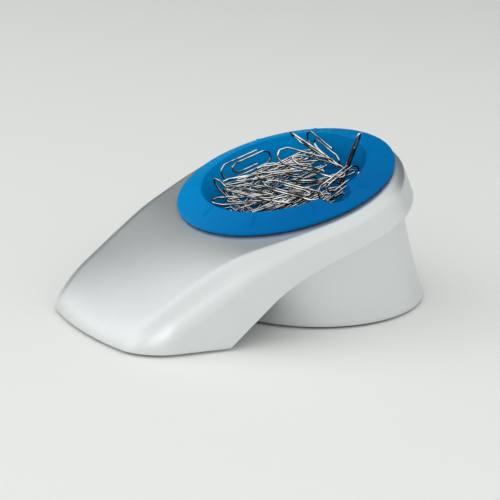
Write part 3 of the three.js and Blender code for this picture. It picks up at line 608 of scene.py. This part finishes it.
class Shader:
    """A material built from expressions on signals."""

    def __init__(self, name, **constants):
        self.material = bpy.data.materials.new(name)
        self.material.use_nodes = True
        self.tree = self.material.node_tree
        self.surface = self.tree.nodes["Principled BSDF"]
        self.set(**constants)

    def set(self, **values):
        """Sets or links inputs of the surface, named with underscores for spaces."""
        for key, value in values.items():
            self.feed(self.surface.inputs[key.replace("_", " ")], value)

    def feed(self, socket, value):
        """Links a signal to an input, or sets a colour or number there."""
        if isinstance(value, Signal):
            self.tree.links.new(value.socket, socket)
        elif isinstance(value, (tuple, list)) and len(value) == 3 and socket.type == "RGBA":
            socket.default_value = (*value, 1.0)
        else:
            socket.default_value = value

    def node(self, kind, output, settings=None, **inputs):
        """Adds a node: first its settings, then the values of its inputs, by number or name."""
        node = self.tree.nodes.new(kind)
        for key, value in (settings or {}).items():
            setattr(node, key, value)
        for key, value in inputs.items():
            socket = int(key[1:]) if key[1:].isdigit() else key.replace("_", " ")
            self.feed(node.inputs[socket], value)
        return Signal(self, node.outputs[output])

    def maths(self, operation, first, second):
        return self.node("ShaderNodeMath", "Value", {"operation": operation}, i0=first, i1=second)

    def limit(self, value, low, high):
        """A value kept between two numbers."""
        return self.node("ShaderNodeClamp", "Result", Value=value, Min=low, Max=high)

    def blend(self, factor, first, second):
        """Goes from one colour to another."""
        return self.node("ShaderNodeMix", 2, {"data_type": "RGBA"}, i0=factor, i6=first, i7=second)

    def tones(self, factor, key):
        """Goes from the deeper to the lighter of a finish's two colours in the settings."""
        colours = settings().colours
        return self.blend(factor, tuple(getattr(colours, key)),
                          tuple(getattr(colours, f"{key}_light")))

    def place(self):
        """The point in the row frame, in metres."""
        return self.node("ShaderNodeTexCoord", "Object")

    def noise(self, size, detail=3.0, roughness=0.5):
        """Cloudy noise from 0 to 1 whose features have a size in metres."""
        return self.node("ShaderNodeTexNoise", "Fac", Vector=self.place(), Scale=1 / size,
                         Detail=detail, Roughness=roughness)

    def cells(self, size):
        """A random value for each grain of a size in metres."""
        cell = self.node("ShaderNodeTexVoronoi", "Color", Vector=self.place(), Scale=1 / size)
        return self.node("ShaderNodeSeparateColor", "Red", Color=cell)

    def bump(self, height, strength, depth):
        """A normal from a height, where depth is in metres."""
        return self.node("ShaderNodeBump", "Normal", Height=height, Strength=strength,
                         Distance=depth)


def silver_paint():
    """Satin silver paint on plastic: fine flakes in the colour and a faint orange peel."""
    shader = Shader("silver paint", Metallic=0.8, Coat_Weight=0.05, Coat_Roughness=0.35)
    flakes = shader.cells(0.00022)
    cloud = shader.noise(0.012, 2.0)
    tone = shader.limit(flakes * 0.5 + cloud * 0.5, 0.0, 1.0)
    shader.set(Base_Color=shader.tones(tone, "silver"))
    shader.set(Roughness=flakes * 0.08 + 0.31)
    peel = shader.noise(0.0009, 2.0) * 0.6 + flakes * 0.4
    shader.set(Normal=shader.bump(peel, 0.12, 0.00002))
    return shader.material


def blue_plastic():
    """Blue plastic moulded in colour, with painted light: lighter and greener on the lit left side (-X), deeper
    blue on the right.
    """
    shader = Shader("blue plastic", Specular_IOR_Level=0.06, Specular_Tint=(0.05, 0.5, 1.0))
    across = shader.node("ShaderNodeSeparateXYZ", "X", Vector=shader.place())
    # The fall along X is painted light, lighter towards the left where the lamps shine; the noise is a random tone
    cloud = shader.limit(shader.noise(0.02, 3.0) * 0.3 + across * -12.0 + 0.25, 0.0, 1.0)
    grain = shader.noise(0.0004, 2.0)
    shader.set(Base_Color=shader.tones(cloud, "blue"))
    shader.set(Roughness=grain * 0.1 + 0.38)
    shader.set(Normal=shader.bump(grain, 0.1, 0.00002))
    return shader.material


def grey_plastic():
    """Dark grey plastic with a spark-eroded texture."""
    shader = Shader("grey plastic")
    grain = shader.noise(0.0005, 4.0, 0.6)
    shader.set(Base_Color=shader.tones(grain, "grey"))
    shader.set(Roughness=grain * 0.2 + 0.5)
    shader.set(Normal=shader.bump(grain, 0.35, 0.00006))
    return shader.material


def black_rubber():
    """Matt black rubber with a dusty bloom."""
    shader = Shader("black rubber", Specular_IOR_Level=0.35)
    bloom = shader.noise(0.006, 4.0)
    grain = shader.noise(0.0003, 3.0)
    shader.set(Base_Color=shader.tones(bloom, "black"))
    shader.set(Roughness=grain * 0.15 + 0.75)
    shader.set(Normal=shader.bump(grain, 0.3, 0.00005))
    return shader.material


def zinc_wire():
    """Zinc-plated wire with painted light: a painted highlight where the wire faces up and painted shade where it
    faces down, with draw marks and duller stretches."""
    shader = Shader("zinc wire", Metallic=1.0)
    upward = shader.node("ShaderNodeAttribute", "Fac", {"attribute_name": "upward"})
    stretches = shader.noise(0.005, 1.0)
    marks = shader.noise(0.0003, 2.0)
    # Painted light: the upper side of the wire is painted as a highlight and the lower side as shade, broken up by
    # duller stretches
    painted_light_and_stretches = shader.limit(upward * 2.4 + stretches * 5.0 - 3.2, 0.0, 1.0)
    shader.set(Base_Color=shader.tones(painted_light_and_stretches, "zinc"))
    shader.set(Roughness=marks * 0.06 + 0.1)
    shader.set(Normal=shader.bump(marks, 0.15, 0.00001))
    return shader.material


def bare_steel():
    """Plain pressed steel with rolling streaks."""
    shader = Shader("bare steel", Metallic=1.0)
    streaks = shader.node("ShaderNodeMapping", "Vector", Vector=shader.place(),
                          Scale=(1.0, 0.06, 1.0))
    lines = shader.node("ShaderNodeTexNoise", "Fac", Vector=streaks, Scale=2500.0, Detail=3.0)
    shader.set(Base_Color=shader.tones(lines, "steel"))
    shader.set(Roughness=lines * 0.2 + 0.32)
    shader.set(Normal=shader.bump(lines, 0.2, 0.00002))
    return shader.material


def ferrite():
    """Sintered ferrite: near black, with a fine granular break."""
    shader = Shader("ferrite", Metallic=0.2)
    grain = shader.cells(0.0003)
    shader.set(Base_Color=shader.tones(grain, "ferrite"))
    shader.set(Roughness=grain * 0.2 + 0.55)
    shader.set(Normal=shader.bump(grain, 0.4, 0.00004))
    return shader.material


FINISHES = {make.__name__: make for make in (silver_paint, blue_plastic, grey_plastic, black_rubber,
                                             zinc_wire, bare_steel, ferrite)}
materials = {}


def finish(slot):
    """The material of a slot, made once."""
    if slot not in materials:
        materials[slot] = FINISHES[slot]()
    return materials[slot]


class CLIPHOLDER_OT_finishes(bpy.types.Operator):
    """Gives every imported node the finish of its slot"""
    bl_idname = "clipholder.finishes"
    bl_label = "Finishes"

    def execute(self, context):
        for part in frame["record"]["subparts"]:
            node = frame["nodes"][part["node"]]
            node.data.materials.clear()
            node.data.materials.append(finish(part["material_slot"]))
        return {"FINISHED"}


class CLIPHOLDER_OT_cover(bpy.types.Operator):
    """Makes the cover with its well, screw bosses and the posts over its front feet"""
    bl_idname = "clipholder.cover"
    bl_label = "Cover"

    def execute(self, context):
        self.shell(settings().cover, settings().well)
        self.bosses(settings().pedestal)
        return {"FINISHED"}

    def shell(self, s, well):
        """One closed surface: up the outer skin, down the well, out under it, down the inner
        skin and back along the lower edge."""
        shape = CoverShape(s)
        angles = shape.stations(360)
        small = s.edge_round
        mouth = well.radius + small
        reach, about = shape.plan_reach(angles, mouth, -s.drop)
        outer = shape.skin(angles, 0.0, reach, 14, 16, 16, lift=small)
        low_outer = shape.skin(angles, small, reach, 1, 2, 1)[0]
        halfway = low_outer + (outer[0] - low_outer) * np.array([0.7, 0.7, 0.3])
        inner_radius = well.radius + well.wall
        inner_reach, inner_about = shape.plan_reach(angles, inner_radius, -s.drop - s.wall)
        inner = shape.skin(angles, s.wall, inner_reach, 8, 10, 6)[::-1]
        profile = [(well.radius + small * (1 - math.sin(math.radians(a))),
                    -s.drop - small * (1 - math.cos(math.radians(a)))) for a in (30, 60, 90)]
        profile += [(well.radius, -well.shelf), (well.lower_radius, -well.shelf),
                    (well.lower_radius, -well.depth), (well.hole, -well.depth),
                    (well.hole, -well.depth - well.floor),
                    (well.lower_radius + well.lower_wall, -well.depth - well.floor),
                    (well.lower_radius + well.lower_wall, -well.shelf - well.wall)]
        offset = local_offset()
        inside = ring_rows(profile, about, from_cup)
        under = ring_rows([(inner_radius, -well.shelf - well.wall)], inner_about, from_cup)
        rows = np.concatenate([[low_outer + offset], [halfway + offset], outer + offset, inside,
                               under, inner + offset])
        faces = grid_faces(len(rows), len(angles), True)
        put_mesh("cover", rows, faces, "housing", "silver_paint", replaced=["cover_shell"])

    def bosses(self, s):
        """Turned bosses from over the ballast to the well's floor, and posts under the nose."""
        cover, well = settings().cover, settings().well
        around = np.linspace(0, 2 * np.pi, 32, endpoint=False)
        for sideways in (-1, 1):
            for lengthways in (-1, 1):
                x, y = sideways * s.boss_spread, s.centre + lengthways * s.boss_reach
                top = (cover.rim_height - (well.depth + well.floor / 2) / math.cos(LEAN)
                       + y * math.tan(LEAN))
                profile = [(TINY, s.pilot_top), (s.pilot_radius, s.pilot_top),
                           (s.pilot_radius, s.boss_foot), (s.boss_radius, s.boss_foot),
                           (s.boss_radius, top), (TINY, top)]
                side = "left" if sideways < 0 else "right"
                end = "front" if lengthways < 0 else "rear"
                put_turned(f"screw_boss_{end}_{side}", profile, around, upright(x, y), False,
                           "housing", "silver_paint")
            shape = CoverShape(cover)
            x, y = sideways * s.post_spread, -s.post_reach
            top = shape.height(x + s.post_radius * np.cos(around),
                               y + s.post_radius * np.sin(around), cover.wall / 2)
            profile = [(TINY, s.post_foot), (s.post_radius, s.post_foot), (s.post_radius, top),
                       (TINY, top.min())]
            put_turned(f"foot_post_{'left' if sideways < 0 else 'right'}", profile, around,
                       upright(x, y), False, "housing", "silver_paint")


class CLIPHOLDER_OT_pedestal(bpy.types.Operator):
    """Makes the leaning pedestal"""
    bl_idname = "clipholder.pedestal"
    bl_label = "Pedestal"

    def execute(self, context):
        """Round at every level: the level's centre moves forward by its height times the lean's
        tangent. The top is cut by the plane under the well's step."""
        s, cover, well = settings().pedestal, settings().cover, settings().well
        angles = np.linspace(0, 2 * np.pi, 320, endpoint=False)
        waist = s.radius - s.waist
        plane = -(well.shelf + well.wall) - s.gap

        def top_height(radius):
            along = s.centre + radius * np.sin(angles)
            return math.cos(LEAN) * (math.cos(LEAN) * cover.rim_height + plane
                                     + math.sin(LEAN) * along)

        def leaning(across, along, height):
            return np.stack([across, along + s.centre - height * math.tan(LEAN), height],
                            axis=-1) + local_offset()

        small = cover.edge_round
        rows = [(s.radius - small, 0.0), (s.radius - small * 0.3, small * 0.3), (s.radius, small)]
        for t in np.linspace(0, 1, 13)[1:]:
            rows.append((s.radius - s.waist * (1 - (1 - t) ** 2), s.flare * t))
        for t in np.linspace(0, 1, 9)[1:]:
            rows.append((waist, s.flare + (top_height(waist) - small - s.flare) * t))
        inside, bore = waist - s.wall, s.radius - s.wall
        rows += [(waist - small, top_height(waist - small)), (inside, top_height(inside)),
                 (inside, s.flare), (bore - s.waist / 2, s.lip_height + s.lip),
                 (bore - s.lip, s.lip_height + s.lip), (bore - s.lip, s.lip_height),
                 (bore, s.lip_height), (bore, 0.0)]
        put_turned("pedestal", rows, angles, leaning, True, "housing", "silver_paint",
                   replaced=["pedestal_shell"])
        return {"FINISHED"}


class CupShape:
    """The cup's surfaces about its axis."""

    def __init__(self, sizes):
        self.s = sizes
        self.slope = (sizes.lip_rise - sizes.rim_top) / (sizes.rim_radius - sizes.lip_radius)

    def flange(self, radius):
        """Height of the flange's sloping top, before its edges are rounded."""
        return self.s.rim_top + (self.s.rim_radius - radius) * self.slope

    def wall(self, height):
        """Radius of the bowl's straight wall at a height."""
        s = self.s
        low = -s.depth + s.floor_round
        high = s.lip_rise - s.lip_round
        return s.waist_radius + (s.lip_radius - s.waist_radius) * (height - low) / (high - low)

    def bowl(self, height):
        """Radius of the bowl's inner side without the scoop: the wall, or the round under it."""
        s = self.s
        rise = np.clip((height + s.depth) / s.floor_round, 0, 1)
        low = s.floor_radius + (s.waist_radius - s.floor_radius) * np.sqrt(1 - (1 - rise) ** 2)
        return np.where(rise < 1, low, np.minimum(self.wall(height), s.lip_radius))

    def scoop(self, about, height, grow=0.0):
        """Outer radius of the finger scoop at an angle and a height: the far root of the line
        from the axis through an ellipsoid, or less than nothing where it misses."""
        s = self.s
        turn = about - s.scoop_angle
        turn = (turn + np.pi) % (2 * np.pi) - np.pi
        depth = s.scoop_depth + grow
        a = (np.cos(turn) / depth) ** 2 + (np.sin(turn) / (s.scoop_width + grow)) ** 2
        b = -2 * np.cos(turn) * s.scoop_centre / depth ** 2
        rise = (height - s.scoop_lift) / (s.scoop_fall + grow)
        c = (s.scoop_centre / depth) ** 2 + rise ** 2 - 1
        inside = b * b - 4 * a * c
        hit = (inside > 0) & (np.abs(turn) < np.pi / 2)
        return np.where(hit, (-b + np.sqrt(np.maximum(inside, 0))) / (2 * a), -1.0)

    def inner(self, about, height):
        """Radius of the bowl's inner side: the wall or the scoop, whichever is further out,
        with a smooth passage k(1-f)f between them."""
        wall, scoop = self.wall(height), self.scoop(about, height)
        soft = 0.0012
        part = np.clip(0.5 + 0.5 * (scoop - wall) / soft, 0, 1)
        return wall + (scoop - wall) * part + soft * part * (1 - part)

    def ribs(self, radius, about):
        """Height of the grip ribs: (1 - d^2)^1.2 where d is the distance from a rib's line in
        half widths."""
        s = self.s
        step = 2 * np.pi / max(s.rib_count, 1)
        turn = (about + np.pi / 2 + step / 2) % step - step / 2
        centre = s.lip_radius + s.rib_inset + s.rib_length / 2
        along = np.maximum(np.abs(radius - centre) - (s.rib_length - s.rib_width) / 2, 0)
        d = np.hypot(along, radius * turn) / (s.rib_width / 2)
        return s.rib_height * np.maximum(1 - d * d, 0) ** 1.2


class CLIPHOLDER_OT_cup(bpy.types.Operator):
    """Makes the cup: bowl, lip, sloping flange, grip ribs and finger scoop"""
    bl_idname = "clipholder.cup"
    bl_label = "Cup"

    def execute(self, context):
        """Rings of radius and height for every angle: from the floor's centre up the inner side,
        over the lip, down the flange, round the rim and back under to the floor's centre."""
        s = settings().cup
        shape = CupShape(s)
        about = np.linspace(0, 2 * np.pi, 720, endpoint=False)
        smallest = 0.05
        rows = [(s.floor_radius * r, -s.depth) for r in np.linspace(smallest, 1, 5)]
        for t in np.linspace(0, np.pi / 2, 10)[1:]:
            rows.append((s.floor_radius + (s.waist_radius - s.floor_radius) * np.sin(t),
                         -s.depth + s.floor_round * (1 - np.cos(t))))
        mouth = s.lip_radius
        for _ in range(ROUNDS):
            mouth = shape.inner(about, shape.flange(mouth) - s.lip_round)
        scooped = mouth > s.lip_radius + 0.0005
        edge = np.where(scooped, 0.6 * s.lip_round, s.lip_round)
        top = shape.flange(mouth) - edge
        low = -s.depth + s.floor_round
        for t in np.linspace(0, 1, 15)[1:]:
            height = low + (top - low) * t
            rows.append((shape.inner(about, height), height))
        mouth = rows[-1][0]
        for t in np.radians([18, 36, 54, 72, 90]):
            r = mouth + edge * (1 - np.cos(t))
            rows.append((r, shape.flange(r) - edge * (1 - np.sin(t))))
        start = rows[-1][0]
        end = s.rim_radius - s.rim_round
        for t in np.linspace(0, 1, 20)[1:]:
            r = start + (end - start) * t
            rows.append((r, shape.flange(r) + shape.ribs(r, about)))
        for t in np.radians([30, 60, 90]):
            rows.append((end + s.rim_round * np.sin(t),
                         s.rim_top - s.rim_round * (1 - np.cos(t))))
        for t in np.radians([0, 45, 90]):
            rows.append((end + s.rim_round * np.cos(t),
                         s.rim_top - s.rim_edge + s.rim_round * (1 - np.sin(t))))
        rim_under = s.rim_radius - s.rim_chamfer
        rows.append((rim_under, shape.flange(rim_under) - s.flange))

        def skin(height):
            return np.maximum(shape.wall(height) + s.wall, shape.scoop(about, height, s.wall))

        neck = s.lip_radius + s.wall
        for _ in range(ROUNDS):
            neck = skin(shape.flange(neck) - s.flange)
        rows.append((neck, shape.flange(neck) - s.flange))
        high = rows[-1][1]
        for t in np.linspace(0, 1, 10)[1:]:
            height = high + (low - high) * t
            rows.append((skin(height), height))
        run = s.waist_radius + s.wall - s.floor_radius
        for t in np.linspace(np.pi / 2, 0, 7)[1:]:
            rows.append((s.floor_radius + run * np.sin(t),
                         -s.depth - s.wall + (s.floor_round + s.wall) * (1 - np.cos(t))))
        rows.append((s.floor_radius * smallest, -s.depth - s.wall))
        put_turned("cup", rows, about, from_cup, False, "cup", "blue_plastic",
                   replaced=["clip_cup"])
        return {"FINISHED"}


class ClipShape:
    """A flat clip: its wire's line, and that line in many poses."""

    def __init__(self, sizes):
        s = sizes
        half, length = (s.width - s.wire) / 2, s.length - s.wire
        inner = half - s.leg_gap
        points = [(s.outer_end, -half)]
        for end, facing, start, stop in [(length, 1, -half, half), (0, -1, half, -inner),
                                         (s.inner_top, 1, -inner, inner - s.taper)]:
            bends = s.bend_share, 1 - s.bend_share
            first, second = (start + (stop - start) * part for part in bends)
            points += [(end - facing * s.shoulder, start), (end, first), (end, second),
                       (end - facing * s.shoulder, stop)]
        points.append((s.inner_end, inner - s.taper))
        self.s = s
        self.line = np.array([(x - length / 2, y, 0.0) for x, y in points])

    def rounded(self):
        """The line with every corner turned into a curve that starts and ends at a distance
        from it: (1-t)^2 a + 2 t (1-t) corner + t^2 b."""
        before, corner, after = self.line[:-2], self.line[1:-1], self.line[2:]
        to_before, to_after = before - corner, after - corner
        run_before = np.linalg.norm(to_before, axis=1, keepdims=True)
        run_after = np.linalg.norm(to_after, axis=1, keepdims=True)
        most = 0.48
        start = corner + to_before * np.minimum(self.s.corner / run_before, most)
        end = corner + to_after * np.minimum(self.s.corner / run_after, most)
        t = np.linspace(0, 1, 5)[None, :, None]
        curves = ((1 - t) ** 2 * start[:, None] + 2 * t * (1 - t) * corner[:, None]
                  + t ** 2 * end[:, None])
        return np.vstack([self.line[:1], curves.reshape(-1, 3), self.line[-1:]])

    def wire(self, sides):
        """Points, outward directions and faces of the round wire: rings square to the line, in
        the clip's plane and its normal, with both ends closed."""
        line = self.rounded()
        along = np.gradient(line, axis=0)
        along /= np.linalg.norm(along, axis=1, keepdims=True)
        across = np.cross(along, [0.0, 0.0, 1.0])
        around = np.linspace(0, 2 * np.pi, sides, endpoint=False)
        out = (np.cos(around)[None, :, None] * across[:, None]
               + np.sin(around)[None, :, None] * np.array([0.0, 0.0, 1.0]))
        rings = line[:, None] + self.s.drawn / 2 * out
        faces = grid_faces(len(line), sides)
        count = len(line) * sides
        caps = [list(range(sides)), list(range(count - 1, count - sides - 1, -1))]
        return rings.reshape(-1, 3), out.reshape(-1, 3), faces, caps

    def pose_of(self, node):
        """Turn and place of a packed clip. Every corner of its mesh goes to the nearest point of
        the line in a trial pose, and the pose is drawn to the middles of these groups until it
        settles. The best of four ways round wins."""
        corners = np.unique(np.round(coordinates(node.data), 6), axis=0)
        middle = corners.mean(axis=0)
        axes = np.linalg.svd(corners - middle)[2]
        best = None
        for first, second in [(1, 1), (1, -1), (-1, 1), (-1, -1)]:
            x, y = first * axes[0], second * axes[1]
            turn, shift = np.array([x, y, np.cross(x, y)]).T, middle
            for _ in range(14):
                placed = self.line @ turn.T + shift
                gaps = np.linalg.norm(corners[:, None] - placed[None], axis=2)
                nearest = gaps.argmin(axis=1)
                used = np.unique(nearest)
                target = np.array([corners[nearest == k].mean(axis=0) for k in used])
                source = self.line[used]
                u, _, v = np.linalg.svd((source - source.mean(0)).T @ (target - target.mean(0)))
                flip = np.diag([1, 1, np.sign(np.linalg.det(v.T @ u.T))])
                turn = v.T @ flip @ u.T
                shift = target.mean(0) - source.mean(0) @ turn.T
            error = gaps.min(axis=1).mean()
            if best is None or error < best[0]:
                best = (error, turn, shift)
        require(best[0] < self.s.wire, f"{node.name} isn't the clip that was expected")
        return best[1], best[2]


def coordinates(mesh):
    """The points of a mesh as rows of an array."""
    flat = np.empty(len(mesh.vertices) * 3)
    mesh.vertices.foreach_get("co", flat)
    return flat.reshape(-1, 3)


def stretch_distances(p, q, r, s):
    """Least distances between straight stretches pq and rs: the nearest places on the two
    endless lines, each moved back onto its stretch where it lies beyond an end."""
    first, second, apart = q - p, s - r, p - r
    a, e = (first ** 2).sum(-1), (second ** 2).sum(-1)
    f, c, b = (second * apart).sum(-1), (first * apart).sum(-1), (first * second).sum(-1)
    scale = np.maximum(a * e - b * b, 1e-18)
    t = np.clip((b * f - c * e) / scale, 0, 1)
    u = (b * t + f) / e
    t = np.where(u < 0, np.clip(-c / a, 0, 1), np.where(u > 1, np.clip((b - c) / a, 0, 1), t))
    u = np.clip(u, 0, 1)
    return np.linalg.norm(apart + t[..., None] * first - u[..., None] * second, axis=-1)


class CLIPHOLDER_OT_clips(bpy.types.Operator):
    """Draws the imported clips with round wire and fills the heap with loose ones"""
    bl_idname = "clipholder.clips"
    bl_label = "Clips"

    def execute(self, context):
        shape = ClipShape(settings().clip)
        poses = []
        for number in range(1, shape.s.packed + 1):
            name = f"paper_clip_{number:02d}"
            pose = shape.pose_of(frame["nodes"][name])
            self.put(f"wire_{number:02d}", shape, [pose], shape.s.packed_sides, [name])
            poses.append(pose)
        loose = self.fill(shape, poses)
        self.put("loose_clips", shape, loose, shape.s.loose_sides, [])
        return {"FINISHED"}

    def put(self, name, shape, poses, sides, replaced):
        """One mesh of the wire in every pose, with how far each point faces up, which the zinc finish turns into
        painted highlight and painted shade.
        """
        points, out, faces, caps = shape.wire(sides)
        every, all_faces, upward = [], [], []
        for turn, shift in poses:
            start = len(every) * len(points)
            every.append(points @ turn.T + shift)
            upward.append((out @ turn.T)[:, 2])
            all_faces += (faces + start).tolist() + [[k + start for k in cap] for cap in caps]
        put_mesh(name, np.vstack(every), all_faces, "cup", "zinc_wire", replaced=replaced,
                 sharp=math.radians(60), marks={"upward": np.concatenate(upward)})

    def fill(self, shape, poses):
        """Tries random poses anywhere in the heap. One that is clear of the cup and of all
        other wires is let down along the cup's axis until it nearly touches, and stays."""
        s, cup = settings().clip, CupShape(settings().cup)
        rng = np.random.default_rng(s.seed)
        basis = np.array([[1.0, 0.0, 0.0], UPHILL, AXIS])
        wires = [((shape.line @ turn.T + shift) - RIM) @ basis.T for turn, shift in poses]
        apart = s.drawn + s.gap
        found = []

        def clear_of_cup(wire):
            radius, height = np.hypot(wire[:, 0], wire[:, 1]), wire[:, 2]
            inside = radius + apart / 2 < cup.bowl(height)
            return (inside & (height > -cup.s.depth + apart / 2)).all()

        def least(wire):
            others = np.array(wires)
            away = np.linalg.norm(others.mean(axis=1) - wire.mean(axis=0), axis=1)
            others = others[away < s.length * 1.15]
            if len(others) == 0:
                return 1.0
            p, q = wire[:-1, None], wire[1:, None]
            r, t = others[:, :-1].reshape(1, -1, 3), others[:, 1:].reshape(1, -1, 3)
            return stretch_distances(p, q, r, t).min()

        for _ in range(s.tries):
            if len(found) == s.loose:
                break
            spreads = s.grain_spread, s.climb_spread, s.roll_spread
            heading, climb, roll = rng.normal(0, 1, 3) * spreads
            heading += s.grain + np.pi * rng.integers(2)
            turn = np.array(Matrix.Rotation(heading, 3, "Z") @ Matrix.Rotation(climb, 3, "Y")
                            @ Matrix.Rotation(roll, 3, "X"))
            reach, bearing = HEAP_RADIUS * math.sqrt(rng.random()), 2 * np.pi * rng.random()
            level = s.heap_top - reach * math.sin(bearing) * math.tan(LEAN)
            height = level - (level + cup.s.depth) * rng.random()
            shift = np.array([reach * math.cos(bearing), reach * math.sin(bearing), height])
            wire = shape.line @ turn.T + shift
            too_high = (wire @ basis)[:, 2].max() > s.heap_top
            if too_high or not clear_of_cup(wire) or least(wire) < apart:
                continue
            for _ in range(DROP_STEPS):
                free = least(wire) - apart
                step = np.array([0.0, 0.0, -max(free, LEAST_STEP)])
                if free < TOUCHING or not clear_of_cup(wire + step):
                    break
                wire = wire + step
                shift = shift + step
            wires.append(wire)
            found.append((basis.T @ turn, RIM + shift @ basis))
        require(len(found) > 0, "no loose clip found a place")
        print(f"{len(found)} loose clips")
        return found


class CLIPHOLDER_OT_stage(bpy.types.Operator):
    """Sets the floor, the lamps and the camera at the photograph's angle"""
    bl_idname = "clipholder.stage"
    bl_label = "Stage"

    def execute(self, context):
        s = settings().stage
        self.camera(s)
        self.floor()
        self.card(s)
        self.lamps(s)
        self.world(s)
        bpy.context.scene.view_settings.view_transform = "Standard"
        return {"FINISHED"}

    def facing(self, right, up, back, place):
        """The matrix of a thing that looks away from back."""
        turn = np.eye(4)
        turn[:3] = np.stack([right, up, back, place], axis=1)
        return Matrix(turn.tolist())

    def plate(self, name, corners, shader):
        """A flat four-cornered piece of the stage."""
        mesh = bpy.data.meshes.new(name)
        mesh.from_pydata([tuple(corner) for corner in corners], [], [(0, 1, 2, 3)])
        mesh.materials.append(shader.material)
        return add(name, mesh)

    def camera(self, s):
        """The camera in its direction round the holder, rolled about its line of sight."""
        a, e = s.azimuth, s.elevation
        back = np.array([math.sin(a) * math.cos(e), -math.cos(a) * math.cos(e), math.sin(e)])
        level = np.array([math.cos(a), math.sin(a), 0.0])
        above = np.cross(back, level)
        right = level * math.cos(s.roll) + above * math.sin(s.roll)
        up = above * math.cos(s.roll) - level * math.sin(s.roll)
        place = local_offset() + np.array([0.0, s.target_y, s.target_z]) + s.distance * back
        data = bpy.data.cameras.new("camera")
        data.lens = s.lens
        data.sensor_width = 36
        data.sensor_fit = "HORIZONTAL"
        data.clip_start = 0.01
        camera = add("camera", data)
        camera.matrix_world = self.facing(right, up, back, place)
        bpy.context.scene.camera = camera

    def floor(self):
        """The white floor, wide enough to reach beyond every view."""
        shader = Shader("floor", Roughness=0.9, Specular_IOR_Level=0.1)
        cloud = shader.noise(0.3, 2.0)
        shader.set(Base_Color=shader.blend(cloud, (0.885, 0.89, 0.87), (0.905, 0.91, 0.89)))
        half = FLOOR_SIZE / 2
        corners = [(-half, -half, 0), (half, -half, 0), (half, half, 0), (-half, half, 0)]
        floor = self.plate("floor", corners, shader)

    def card(self, s):
        """A black card behind the holder, which the silver's dark side mirrors. The camera
        doesn't see it from any side."""
        out = np.array([math.cos(s.card_azimuth), math.sin(s.card_azimuth), 0.0])
        along = np.array([-out[1], out[0], 0.0]) * s.card_width / 2
        foot = out * s.card_distance + [0.0, 0.0, s.card_foot]
        rise = np.array([0.0, 0.0, s.card_height - s.card_foot])
        shader = Shader("card", Roughness=1.0, Specular_IOR_Level=0.0)
        cloth = shader.noise(0.002, 2.0)
        shader.set(Base_Color=shader.blend(cloth, (0.002, 0.022, 0.03), (0.004, 0.028, 0.038)))
        corners = [foot - along, foot + along, foot + along + rise, foot - along + rise]
        card = self.plate("card", corners, shader)
        card.visible_camera = False

    def lamps(self, s):
        """Square lamps that shine at the holder's middle."""
        for name, (size, place) in LAMPS.items():
            data = bpy.data.lights.new(name, "AREA")
            data.energy = getattr(s, f"{name}_power")
            data.shape = "SQUARE"
            data.size = size
            back = np.array(place) / np.linalg.norm(place)
            level = np.cross([0, 0, 1.0], back)
            level /= np.linalg.norm(level)
            add(name, data).matrix_world = self.facing(level, np.cross(back, level), back, place)

    def world(self, s):
        """The even light from all round."""
        world = bpy.data.worlds.new("studio")
        world.use_nodes = True
        background = world.node_tree.nodes["Background"]
        background.inputs["Color"].default_value = (0.98, 1.0, 0.99, 1.0)
        background.inputs["Strength"].default_value = s.sky
        bpy.context.scene.world = world


class CLIPHOLDER_PT_panel(bpy.types.Panel):
    """Lists the holder's pieces in the sidebar"""
    bl_idname = "CLIPHOLDER_PT_panel"
    bl_label = "Clip holder"
    bl_space_type = "VIEW_3D"
    bl_region_type = "UI"
    bl_category = "Clip holder"

    def draw(self, context):
        for operator in OPERATORS:
            self.layout.operator(operator.bl_idname)


OPERATORS = [CLIPHOLDER_OT_finishes, CLIPHOLDER_OT_cover, CLIPHOLDER_OT_pedestal, CLIPHOLDER_OT_cup,
             CLIPHOLDER_OT_clips, CLIPHOLDER_OT_stage]


class ClipHolderSettings(bpy.types.PropertyGroup):
    """All sizes and settings of the holder and its stage."""
    cover: PointerProperty(type=CoverSizes)
    well: PointerProperty(type=WellSizes)
    pedestal: PointerProperty(type=PedestalSizes)
    cup: PointerProperty(type=CupSizes)
    clip: PointerProperty(type=ClipSizes)
    colours: PointerProperty(type=Colours)
    stage: PointerProperty(type=StageSettings)


CLASSES = [CoverSizes, WellSizes, PedestalSizes, CupSizes, ClipSizes, Colours, StageSettings,
           ClipHolderSettings, *OPERATORS, CLIPHOLDER_PT_panel]


def register():
    for cls in CLASSES:
        bpy.utils.register_class(cls)
    bpy.types.Scene.clip_holder = PointerProperty(type=ClipHolderSettings)


def unregister():
    del bpy.types.Scene.clip_holder
    for cls in reversed(CLASSES):
        bpy.utils.unregister_class(cls)


def main():
    register()
    bpy.ops.clipholder.finishes()
    bpy.ops.clipholder.cover()
    bpy.ops.clipholder.pedestal()
    bpy.ops.clipholder.cup()
    bpy.ops.clipholder.clips()
    bpy.ops.clipholder.stage()


if __name__ == "__main__":
    main()
